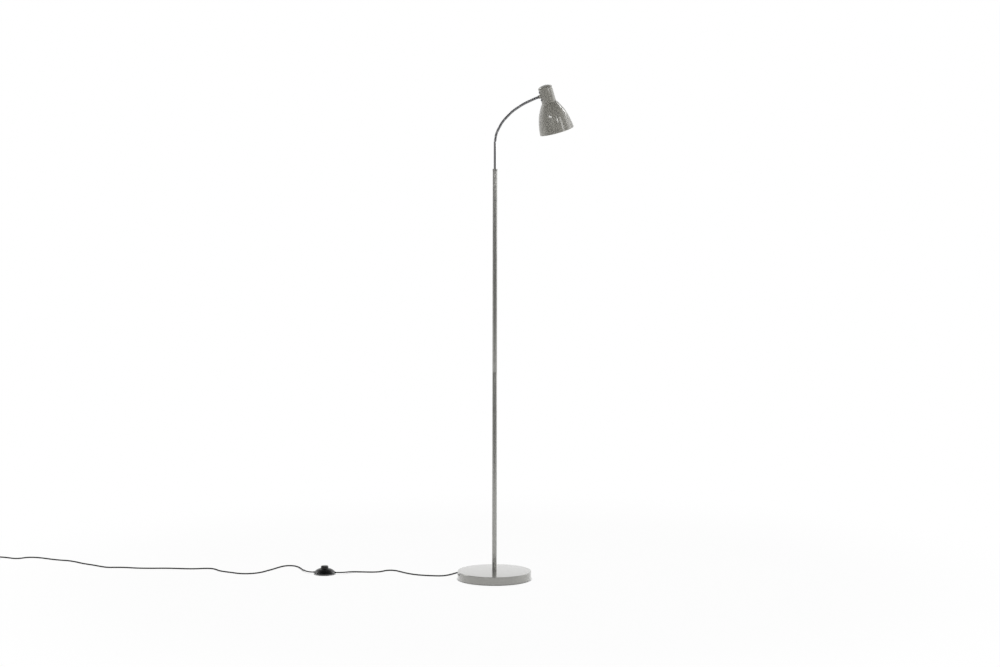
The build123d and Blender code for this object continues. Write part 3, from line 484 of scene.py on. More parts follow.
# ------------------------------------------------------------------ mesh tools
@dataclass(frozen=True)
class Spindle:
    """A line that pieces are turned about: a foot, a way along it, and a side."""

    foot: Vector
    way: Vector
    side: Vector

    def at(self, along: float, out: float, angle: float = 0.0) -> Vector:
        """Point in metres.

        Args:
            along: distance along the line, in mm.
            out: distance from it, in mm.
            angle: turn about it from the side, in radians.

        Returns:
            The point.
        """
        across = self.way.cross(self.side)
        spoke = self.side * math.cos(angle) + across * math.sin(angle)
        return (self.foot + self.way * along + spoke * out) * MM


UPRIGHT = Spindle(Vector((0, 0, 0)), UP, Vector((1, 0, 0)))


def softened(corners: list[Pair], radii: dict[int, float], steps: int = 6) -> list[Pair]:
    """Round some corners of an outline with arcs that touch both its sides.

    Args:
        corners: the outline's corners.
        radii: radius by corner number.
        steps: points on each arc.

    Returns:
        The outline with its arcs.
    """
    outline: list[Pair] = []
    count = len(corners)
    for index, corner in enumerate(corners):
        if index not in radii:
            outline.append(corner)
            continue
        here = Vector(corner)
        back = (Vector(corners[index - 1]) - here).normalized()
        forth = (Vector(corners[(index + 1) % count]) - here).normalized()
        half = back.angle(forth) / 2
        reach = radii[index] / math.tan(half)
        middle = here + (back + forth).normalized() * radii[index] / math.sin(half)
        first, last = here + back * reach - middle, here + forth * reach - middle
        for step in range(steps + 1):
            share = step / steps
            spoke = first.lerp(last, share).normalized() * radii[index]
            outline.append(tuple(middle + spoke))
    return outline


def new_piece(name: str, mesh: bmesh.types.BMesh, crease: float = 35.0) -> bpy.types.Object:
    """Turn a mesh into a smooth-shaded piece with crisp corners.

    Args:
        name: the piece's name.
        mesh: its mesh, freed here.
        crease: angle above which an edge stays sharp, in degrees.

    Returns:
        The piece.
    """
    bmesh.ops.recalc_face_normals(mesh, faces=mesh.faces)
    data = bpy.data.meshes.new(name)
    mesh.to_mesh(data)
    mesh.free()
    for polygon in data.polygons:
        polygon.use_smooth = True
    data.set_sharp_from_angle(angle=math.radians(crease))
    return placed(name, data)


def bridge(mesh: bmesh.types.BMesh, rings: list[list[bmesh.types.BMVert]], slot: int = 0) -> None:
    """Join rings of as many corners each into a tube.

    Args:
        mesh: the mesh to add to.
        rings: the rings, in order.
        slot: material number of the tube.
    """
    for below, above in zip(rings, rings[1:]):
        for step in range(len(below)):
            after = (step + 1) % len(below)
            face = mesh.faces.new((below[step], below[after], above[after], above[step]))
            face.material_index = slot


def turn_into(
    mesh: bmesh.types.BMesh,
    spindle: Spindle,
    outline: list[Pair],
    segments: int = 96,
    closed: bool = True,
    slots: list[int] | None = None,
) -> None:
    """Turn an outline about a spindle into a mesh.

    Args:
        mesh: the mesh to add to.
        spindle: the line to turn about.
        outline: distance along and distance out of each point, in mm.
        segments: flats round the piece.
        closed: whether the last point joins the first.
        slots: material number of each strip, in order.
    """
    rings: list[list[bmesh.types.BMVert]] = []
    for along, out in outline:
        if out < 1e-6:
            rings.append([mesh.verts.new(spindle.at(along, 0.0))])
            continue
        turns = [2 * math.pi * step / segments for step in range(segments)]
        rings.append([mesh.verts.new(spindle.at(along, out, turn)) for turn in turns])
    last = len(rings) if closed else len(rings) - 1
    for strip in range(last):
        low, high = rings[strip], rings[(strip + 1) % len(rings)]
        for step in range(segments):
            after = (step + 1) % segments
            corners = [low[step % len(low)], low[after % len(low)]]
            corners += [high[after % len(high)], high[step % len(high)]]
            distinct = list(dict.fromkeys(corners))
            if len(distinct) < 3:
                continue
            face = mesh.faces.new(distinct)
            face.material_index = slots[strip] if slots else 0


def turned(
    name: str,
    spindle: Spindle,
    outline: list[Pair],
    finish: Finish,
    segments: int = 96,
    closed: bool = True,
) -> bpy.types.Object:
    """Turn one piece and give it its finish.

    Args:
        name: the piece's name.
        spindle: the line to turn about.
        outline: distance along and distance out of each point, in mm.
        finish: its finish.
        segments: flats round the piece.
        closed: whether the outline closes on itself.

    Returns:
        The piece.
    """
    mesh = bmesh.new()
    turn_into(mesh, spindle, outline, segments, closed)
    piece = new_piece(name, mesh)
    piece.data.materials.append(finish.material())
    return piece


def settle(piece: bpy.types.Object, body: str, nodes: list[str]) -> bpy.types.Object:
    """Fix a piece to its body, and say which solids it stands for.

    Args:
        piece: the piece.
        body: the body that it moves with.
        nodes: the solids that it replaces.

    Returns:
        The piece.
    """
    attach(piece, body)
    if nodes:
        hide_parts(*nodes)
    log.info("%s rides on %s", piece.name, body)
    return piece


def dress(finish: Finish, *nodes: str) -> None:
    """Give solids that keep their shape their finish.

    Args:
        finish: the finish.
        nodes: the solids' names.
    """
    for node in nodes:
        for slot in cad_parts[node].material_slots:
            slot.material = finish.material()
        log.info("%s keeps its shape", node)


def cut_away(piece: bpy.types.Object, cutter: bpy.types.Object) -> None:
    """Cut one mesh out of another, and drop the cutter.

    Args:
        piece: the mesh that stays.
        cutter: the mesh that goes.
    """
    knife = piece.modifiers.new("cut", "BOOLEAN")
    knife.operation = "DIFFERENCE"
    knife.solver = "EXACT"
    knife.object = cutter
    bpy.context.view_layer.update()
    ready = piece.evaluated_get(bpy.context.evaluated_depsgraph_get())
    data = bpy.data.meshes.new_from_object(ready)
    piece.modifiers.clear()
    piece.data = data
    bpy.data.objects.remove(cutter)


# ------------------------------------------------------------------ base and pole
@dataclass
class Base:
    """Round weighted base: cover, weight, pad and what clamps the pole to it."""

    radius: float = 110.0
    height: float = 25.0
    lift: float = 1.5
    wall: float = 1.5
    edge: float = 1.0
    hole: float = 5.05
    exit_angle: float = 80.0
    exit_height: float = 5.7
    grommet_inner: float = 100.0
    grommet_face: float = 110.0
    grommet_tip: float = 126.0
    grommet_sleeve: float = 3.4

    def build(self) -> None:
        """Build the cover and the ribbed strain relief, and dress the rest."""
        corners = [
            (self.lift, self.radius - self.wall),
            (self.lift, self.radius),
            (self.height, self.radius),
            (self.height, self.hole),
            (self.height - self.wall, self.hole),
            (self.height - self.wall, self.radius - self.wall),
        ]
        outline = softened(corners, {1: 0.3, 2: self.edge, 5: 0.5}, 8)
        cover = turned("cover", UPRIGHT, outline, Finish.STAND_PAINT, 256)
        settle(cover, "stand", ["base_cover"])
        self.relief()
        dress(Finish.IRON, "base_weight")
        dress(Finish.PAD_FOAM, "base_pad")
        dress(Finish.ZINC, "pole_stud", "stud_washer", "stud_nut", "clamp_screws")
        dress(Finish.TRIM_PLASTIC, "cord_clamp")
        dress(Finish.LEAD_RUBBER, "lead_pole")

    def relief(self) -> None:
        """Build the tapered, ribbed relief that the lead leaves the base through."""
        spindle = Spindle(UP * self.exit_height, heading(self.exit_angle), UP)
        sleeve = self.grommet_sleeve
        outline = [
            (self.grommet_inner, 0.0),
            (self.grommet_inner, sleeve),
            (self.grommet_face, sleeve),
            *ribbed(self.grommet_face + 1.2, self.grommet_tip, 3.35, 2.3, 5),
        ]
        piece = turned("lead_relief", spindle, outline, Finish.TRIM_PLASTIC, 40, False)
        settle(piece, "stand", ["cord_grommet"])


def ribbed(start: float, end: float, thick: float, thin: float, rings: int) -> list[Pair]:
    """Outline of a strain relief that tapers in rings to a rounded tip.

    Args:
        start: where its rings begin.
        end: its tip.
        thick: radius at its start.
        thin: radius at its tip.
        rings: how many rings it has.

    Returns:
        The outline, which ends on the axis.
    """
    outline: list[Pair] = []
    step = (end - start) / rings
    for ring in range(rings):
        place = start + ring * step
        radius = thick + (thin - thick) * (ring + 0.5) / rings
        outline += [
            (place + 0.02 * step, radius - 0.45),
            (place + 0.16 * step, radius - 0.45),
            (place + 0.28 * step, radius - 0.1),
            (place + 0.42 * step, radius),
            (place + 0.80 * step, radius),
            (place + 0.94 * step, radius - 0.12),
        ]
    return outline + [(end, thin - 0.45), (end, 0.0)]


@dataclass
class Pole:
    """Two-part painted pole with its foot ring and cap."""

    radius: float = 7.0
    wall: float = 1.2
    foot: float = 26.0
    split: float = 622.0
    top: float = 1219.0
    ring_radius: float = 7.5
    ring_height: float = 1.0
    ring_hole: float = 5.05
    cap_reach: float = 26.0
    slip: float = 0.05
    cap_radius: float = 7.5
    cap_height: float = 5.0
    bore: float = 4.8

    def tube(self, low: float, high: float) -> list[Pair]:
        """Outline of one length of the pole, its ends just eased.

        Args:
            low: its lower end.
            high: its upper end.

        Returns:
            The outline.
        """
        inner = self.radius - self.wall
        corners = [(low, inner), (low, self.radius), (high, self.radius), (high, inner)]
        return softened(corners, {1: 0.25, 2: 0.25}, 3)

    def build(self) -> None:
        """Build the tubes, the ring and the cap, and dress the joiner."""
        parts = (("pole_lower", self.foot, self.split), ("pole_upper", self.split, self.top))
        for node, low, high in parts:
            piece = turned(f"{node}_tube", UPRIGHT, self.tube(low, high), Finish.STAND_PAINT, 96)
            settle(piece, "stand", [node])
        low, hole, out = self.foot - self.ring_height, self.ring_hole, self.ring_radius
        ring = [(low, hole), (low, out), (self.foot, out), (self.foot, hole)]
        outline = softened(ring, {2: 0.3, 1: 0.1}, 4)
        piece = turned("foot_ring", UPRIGHT, outline, Finish.STAND_PAINT)
        settle(piece, "stand", ["pole_foot_ring"])
        spigot = self.radius - self.wall - self.slip
        cap = [
            (self.top - self.cap_reach, self.bore),
            (self.top - self.cap_reach, spigot),
            (self.top, spigot),
            (self.top, self.cap_radius),
            (self.top + self.cap_height, self.cap_radius),
            (self.top + self.cap_height, self.bore),
        ]
        outline = softened(cap, {3: 0.2, 4: 0.5, 5: 0.2}, 6)
        piece = turned("cap", UPRIGHT, outline, Finish.STAND_PAINT)
        settle(piece, "stand", ["pole_cap"])
        dress(Finish.ZINC, "pole_joiner")


# ------------------------------------------------------------------ wound neck
@dataclass
class WoundNeck:
    """Chrome foot tube and the wound flexible tube that carries the head.

    The tube is split at its joints into stiff lengths. Each rides on its own link, and a ball at
    its upper end fills the joint, so that no pose opens a hole or stretches a length.
    """

    first: float = 1304.0
    pitch: float = 14.5
    turns: list[float] = field(
        default_factory=lambda: [7, 10, 13, 0, 10, 6.5, 0, 6.5, 6, 0, 5, 3.25, 0, 3, 2.5]
    )
    root: float = 3.3
    crest: float = 4.0
    winding: float = 2.9
    tube_radius: float = 4.75
    tube_low: float = 1190.0
    core: float = 1.1
    ball: float = 3.22
    slack: float = 0.05
    swing_per_turn: float = 34.4 / 13
    sway: float = 17.0
    foot: float = 3.5
    neck_end: float = 4.5
    sides: int = 40
    rings_per_winding: int = 10

    def __post_init__(self) -> None:
        """Work out the pivots and directions of the neck at rest."""
        self.pivots = [Vector((0, 0, self.first))]
        self.ways: list[Vector] = []
        lean = 0.0
        for turn in self.turns:
            lean += math.radians(turn)
            self.ways.append(Vector((math.sin(lean), 0, math.cos(lean))))
            self.pivots.append(self.pivots[-1] + self.ways[-1] * self.pitch)
        self.joints = len(self.turns)

    def body(self, number: int) -> str:
        """Name of the body that a length rides on.

        Args:
            number: the length's number: 0 at the foot, up to the number of joints at the head.

        Returns:
            The body.
        """
        if number == 0:
            return "stand"
        return "head" if number == self.joints else f"link_{number:02d}"

    def slope(self, joint: int) -> float:
        """How fast a length narrows towards a joint, to clear its neighbour at the joint's limit.

        Args:
            joint: the joint's number, from 0 at the foot.

        Returns:
            The tangent of half the joint's widest swing from rest.
        """
        turn = self.turns[joint]
        return math.tan(math.radians((turn * self.swing_per_turn if turn else self.sway) / 2))

    def centre(self, joint: int, along: float) -> tuple[Vector, Vector]:
        """Point and direction of the smooth centreline near a joint.

        Args:
            joint: the joint's number.
            along: distance past the joint along the neck, from -7.25 to 7.25 mm.

        Returns:
            The point and the unit direction there.
        """
        half = self.pitch / 2
        before = self.ways[joint - 1] if joint else UP
        after = self.ways[joint]
        bend = before.angle(after) if before != after else 0.0
        pivot = self.pivots[joint]
        if bend < 1e-5:
            return pivot + after * along, after
        radius = half / math.tan(bend / 2)
        start = pivot - before * half
        axis = before.cross(after).normalized()
        inward = axis.cross(before).normalized()
        spin = Matrix.Rotation(bend * ((along + half) / (2 * half)), 3, axis)
        hub = start + inward * radius
        return hub - (spin @ inward) * radius, (spin @ before).normalized()

    def height(self, phase: float) -> float:
        """Radius of the winding at a phase: a round wire beside a shallow groove.

        Args:
            phase: place in one winding, 0 to 1.

        Returns:
            The radius in mm.
        """
        phase %= 1.0
        bulge = abs(math.sin(math.pi * phase)) ** 0.8
        return self.root + (self.crest - self.root) * bulge

    def spot(self, distance: float) -> tuple[Vector, Vector]:
        """Point and direction of the centreline at a distance along the neck.

        Args:
            distance: mm past the first joint.

        Returns:
            The point and the unit direction there.
        """
        joint = min(max(round(distance / self.pitch), 0), self.joints - 1)
        return self.centre(joint, distance - joint * self.pitch)

    def radius(self, number: int, distance: float, spoke: int) -> float:
        """Outer radius of a length: its winding, narrowed beside its joints.

        Args:
            number: the length's number.
            distance: mm past the first joint.
            spoke: which of the sides, from 0.

        Returns:
            The radius in mm.
        """
        radius = self.height(distance / self.winding - spoke / self.sides)
        for joint in (number - 1, number):
            if 0 <= joint < self.joints:
                gap = abs(distance - joint * self.pitch) - self.slack
                radius = min(radius, max(self.root, gap / self.slope(joint)))
        return radius

    def ring(
        self, mesh: bmesh.types.BMesh, distance: float, radii: list[float], tilt: float = 0.0
    ) -> list[bmesh.types.BMVert]:
        """Add one ring of corners about the centreline.

        Args:
            mesh: the mesh to add to.
            distance: mm past the first joint.
            radii: how far each side's corner lies from the point there.
            tilt: how far the corners lean along the neck, in radians. A ball's rings lean.

        Returns:
            The ring.
        """
        point, way = self.spot(distance)
        across = way.cross(Vector((0, 1, 0)))
        corners = []
        for spoke, radius in enumerate(radii):
            angle = 2 * math.pi * spoke / self.sides
            out = Vector((0, 1, 0)) * math.cos(angle) + across * math.sin(angle)
            lean = out * math.cos(tilt) + way * math.sin(tilt)
            corners.append(mesh.verts.new((point + lean * radius) * MM))
        return corners

    def section(self, number: int) -> bmesh.types.BMesh:
        """Mesh of one stiff length, with the ball at its upper end and the lead inside it.

        Args:
            number: the length's number.

        Returns:
            The mesh.
        """
        mesh = bmesh.new()
        low = -self.foot
        if number:
            low = (number - 1) * self.pitch + self.root * self.slope(number - 1) + self.slack
        high = (self.joints - 1) * self.pitch + self.neck_end
        if number < self.joints:
            high = number * self.pitch - self.root * self.slope(number) - self.slack
        steps = max(6, round((high - low) / self.winding * self.rings_per_winding))
        places = [low + (high - low) * step / steps for step in range(steps + 1)]
        rows = []
        for place in places:
            radii = [self.radius(number, place, spoke) for spoke in range(self.sides)]
            rows.append(self.ring(mesh, place, radii))
        inner = low if number == 0 else (number - 1) * self.pitch + self.ball + 0.1
        spans = [inner + (high - inner) * step / 24 for step in range(25)]
        cores = [self.ring(mesh, place, [self.core] * self.sides) for place in spans]
        bridge(mesh, rows)
        bridge(mesh, cores, 1)
        if number < self.joints:
            tilts = [math.radians(tilt) for tilt in range(-66, 67, 6)]
            radii = [self.ball] * self.sides
            bridge(mesh, [self.ring(mesh, number * self.pitch, radii, tilt) for tilt in tilts])
        return mesh

    def build(self) -> None:
        """Build the foot tube and the wound lengths, one on each body of the neck."""
        self.foot_tube()
        for number in range(self.joints + 1):
            piece = new_piece(f"wound_{number:02d}", self.section(number), 60.0)
            piece.data.materials.append(Finish.WOUND.material())
            piece.data.materials.append(Finish.LEAD_RUBBER.material())
            nodes = [f"gooseneck_link_{number:02d}"] if 0 < number < self.joints else []
            if number == 0:
                nodes = ["lead_gooseneck"]
            settle(piece, self.body(number), nodes)

    def foot_tube(self) -> None:
        """Build the straight chrome tube with its rolled lip."""
        top = self.first - 0.9
        corners = [
            (self.tube_low, 3.6),
            (self.tube_low, self.tube_radius),
            (top, self.tube_radius),
            (top, 4.05),
            (top - 4, 4.05),
            (top - 4, 3.6),
        ]
        outline = softened(corners, {2: 0.35, 3: 0.25}, 5)
        piece = turned("chrome_tube", UPRIGHT, outline, Finish.CHROME, 96)
        settle(piece, "stand", ["gooseneck_tube"])


# ------------------------------------------------------------------ head
@dataclass
class Head:
    """Cylinder neck with its dome, the bell shade, the fitting, the lampholder and the bulb."""

    neck: WoundNeck
    collar_length: float = 7.2
    neck_top: float = 20.5
    neck_bottom: float = 23.3
    top_radius: float = 21.0
    bottom_radius: float = 21.7
    wall: float = 1.2
    dome_height: float = 8.0
    dome_shoulder: float = 3.5
    line: float = 0.4
    shade_wall: float = 1.0
    shade_hole: float = 14.05
    spigot_reach: float = 8.5
    curve: list[Pair] = field(
        default_factory=lambda: [
            (29.5, 26.1), (41.5, 32.8), (57.5, 40.5), (75.5, 46.0), (94.5, 49.9)
        ]
    )
    mouth: Pair = (113.5, 52.2)
    screw_spread: float = 11.4
    screw_shank: float = 1.6
    screw_head: float = 2.7
    bulb_radius: float = 22.5
    bulb_centre: float = 81.5
    bulb_foot: float = 60.0
    bulb_throat: float = 12.0

    def __post_init__(self) -> None:
        """Find the head's axis from the end of the neck."""
        way = self.neck.ways[-1]
        share = self.neck_top / (self.neck_top + self.neck_bottom)
        middle = self.top_radius + (self.bottom_radius - self.top_radius) * share
        last = self.neck.pivots[self.neck.joints - 1]
        foot = last + way * (middle + self.collar_length + 0.9)
        self.spindle = Spindle(foot, Vector((way.z, 0, -way.x)), way)
        self.arm = Spindle(foot, way, Vector((0, 1, 0)))

    def build(self) -> None:
        """Build the shells and the bulb, and dress what they hold."""
        self.shells()
        self.shade()
        self.fitting()
        self.bulb()
        dress(Finish.ZINC, "collar_nut", "head_bracket")
        dress(Finish.TRIM_PLASTIC, "lampholder_body", "shade_ring")
        dress(Finish.BRASS, "lampholder_contact")
        dress(Finish.LEAD_RUBBER, "lead_head")
        dress(Finish.CAP_METAL, "bulb_cap")

    def shells(self) -> None:
        """Build the cylinder and the domed cap above it."""
        corners = [
            (-self.neck_top, self.top_radius - self.wall),
            (-self.neck_top, self.top_radius),
            (self.neck_bottom, self.bottom_radius),
            (self.neck_bottom, self.bottom_radius - self.wall),
        ]
        outline = softened(corners, {1: 0.35, 2: 0.35}, 4)
        piece = turned("neck_cylinder", self.spindle, outline, Finish.HEAD_PAINT, 160)
        settle(piece, "head", ["neck_shell"])

        foot = -self.neck_top - self.line
        edge, out = self.dome_shoulder, self.top_radius - self.dome_shoulder
        rounding = (self.dome_height**2 + out**2 - edge**2) / (2 * (self.dome_height - edge))
        centre = foot - self.dome_height + rounding
        sweep = math.atan2(out, centre - foot)
        crown = [sweep * step / 24 for step in range(25)]
        outer = [
            (centre - rounding * math.cos(angle), rounding * math.sin(angle)) for angle in crown
        ]
        outer[0] = (centre - rounding, 0.0)
        bend = [sweep + (math.pi / 2 - sweep) * step / 10 for step in range(1, 10)]
        outer += [(foot - edge * math.cos(angle), out + edge * math.sin(angle)) for angle in bend]
        inner = self.top_radius - self.wall - 0.05
        rim = softened([outer[-1], (foot, self.top_radius), (foot, inner)], {1: 0.2}, 4)
        bore = inner - self.wall
        outline = outer + rim[1:] + [(foot + 5.0, inner), (foot + 5.0, bore), (foot - 1.0, bore)]
        outline += [(centre - rounding + self.wall, 0.0)]
        piece = turned("dome", self.spindle, outline, Finish.HEAD_PAINT, 160, False)
        settle(piece, "head", ["dome_cap"])

    def bell(self, distance: float, points: list[Pair]) -> float:
        """Radius of the bell by smooth interpolation.

        Args:
            distance: distance along the head's axis.
            points: known distances and radii.

        Returns:
            The radius.
        """
        count = len(points)
        slopes = []
        for index in range(count):
            low, high = max(index - 1, 0), min(index + 1, count - 1)
            slopes.append((points[high][1] - points[low][1]) / (points[high][0] - points[low][0]))
        for index in range(count - 1):
            (left, first), (right, second) = points[index], points[index + 1]
            if distance <= right:
                span = right - left
                share = (distance - left) / span
                square, cube = share**2, share**3
                return (
                    first * (2 * cube - 3 * square + 1)
                    + slopes[index] * span * (cube - 2 * square + share)
                    + second * (3 * square - 2 * cube)
                    + slopes[index + 1] * span * (cube - square)
                )
        return points[-1][1]

    def shade(self) -> None:
        """Build the bell: painted outside, white inside, with a folded rim."""
        start = self.neck_bottom + self.line
        points = [(start, self.bottom_radius), *self.curve, self.mouth]
        end, radius = self.mouth
        places = [start + (end - start) * step / 60 for step in range(61)]
        outside = [(place, self.bell(place, points)) for place in places]
        outer_spigot = self.bottom_radius - self.wall - 0.15
        bore = outer_spigot - self.shade_wall
        rim = [
            (end - 0.25, radius - 0.02),
            (end, radius - 0.3),
            (end, radius - 0.75),
            (end - 0.3, radius - self.shade_wall),
        ]
        inside = [
            (place + 0.2, self.bell(place, points) - self.shade_wall)
            for place in reversed(places)
            if start + 1.0 < place < end - 1.0
        ]
        spigot = [
            (start + 1.2, bore),
            (start + 0.001, bore),
            (start + 0.001, self.shade_hole),
            (start - 1.0, self.shade_hole),
            (start - 1.0, bore),
            (start - self.spigot_reach, bore),
            (start - self.spigot_reach, outer_spigot),
            (start, outer_spigot),
        ]
        outline = outside[:-1] + rim + inside + spigot
        mesh = bmesh.new()
        painted = len(outside) + 1
        slots = [0] * painted + [1] * (len(outline) - painted)
        turn_into(mesh, self.spindle, outline, 192, True, slots)
        piece = new_piece("bell_shade", mesh)
        piece.data.materials.append(Finish.HEAD_PAINT.material())
        piece.data.materials.append(Finish.SHADE_INSIDE.material())
        settle(piece, "head", ["shade"])

    def fitting(self) -> None:
        """Dress the collar, and build the two cross-headed screws beside it."""
        dress(Finish.HEAD_PAINT, "end_collar")
        for place in (-self.screw_spread, self.screw_spread):
            length = self.neck_top + self.neck_bottom
            flare = (self.bottom_radius - self.top_radius) * (place + self.neck_top) / length
            seat = self.top_radius + flare + 0.1
            foot = self.arm.foot + self.spindle.way * place
            spindle = Spindle(foot, -self.arm.way, self.arm.side)
            shank, out, brim, crown = self.screw_shank, self.screw_head, 1.2, 1.4
            outline = [(seat - 7.0, 0.0), (seat - 7.0, shank), (seat, shank), (seat, out)]
            outline.append((seat + brim, out))
            for step in range(1, 7):
                angle = math.pi / 2 * step / 6
                rise = seat + brim + crown * math.sin(angle)
                outline.append((rise, out * math.cos(angle) ** 0.7))
            outline[-1] = (seat + 2.6, 0.0)
            name = "screw_upper" if place < 0 else "screw_lower"
            piece = turned(name, spindle, outline, Finish.WOUND, 48, False)
            for slot in range(2):
                cutter = self.slot_cutter(spindle, seat + 2.6, slot * math.pi / 2)
                cut_away(piece, cutter)
            settle(piece, "head", ["neck_screws"])

    @staticmethod
    def slot_cutter(spindle: Spindle, top: float, angle: float) -> bpy.types.Object:
        """Make a thin block that cuts one arm of a cross into a screw's head.

        Args:
            spindle: the screw's axis.
            top: height of the head's crown.
            angle: turn of the arm.

        Returns:
            The block.
        """
        mesh = bmesh.new()
        corners = []
        long, thin = 1.6, 0.28
        for along in (top - 1.0, top + 1.0):
            for out, across in ((-long, -thin), (long, -thin), (long, thin), (-long, thin)):
                place = spindle.at(along, math.hypot(out, across), angle + math.atan2(across, out))
                corners.append(mesh.verts.new(place))
        mesh.faces.new(corners[:4])
        mesh.faces.new(corners[4:])
        for low, high in ((0, 1), (1, 2), (2, 3), (3, 0)):
            mesh.faces.new([corners[index] for index in (low, high, high + 4, low + 4)])
        return new_piece("slot_cutter", mesh)

    def bulb(self) -> None:
        """Build the opal globe on its tapered collar."""
        radius, centre = self.bulb_radius, self.bulb_centre
        foot, throat = self.bulb_foot, self.bulb_throat
        join = centre - math.sqrt(radius**2 - throat**2)
        sweep = math.acos((centre - join) / radius)
        globe = [(foot, 0.0), (foot, throat), (join, throat)]
        for step in range(1, 41):
            angle = sweep + (math.pi - sweep) * step / 40
            globe.append((centre - radius * math.cos(angle), radius * math.sin(angle)))
        globe[-1] = (centre + radius, 0.0)
        piece = turned("globe", self.spindle, globe, Finish.OPAL, 96, False)
        settle(piece, "head", ["bulb_globe"])
        collar = [(44.5, 0.0), (44.5, 7.9), (45.2, 8.7), (48.5, 11.0)]
        collar += [(50.0, 11.35), (59.4, throat), (59.9, 11.7), (foot, 0.0)]
        piece = turned("bulb_skirt", self.spindle, collar, Finish.OPAL, 96, False)
        settle(piece, "head", ["bulb_collar"])


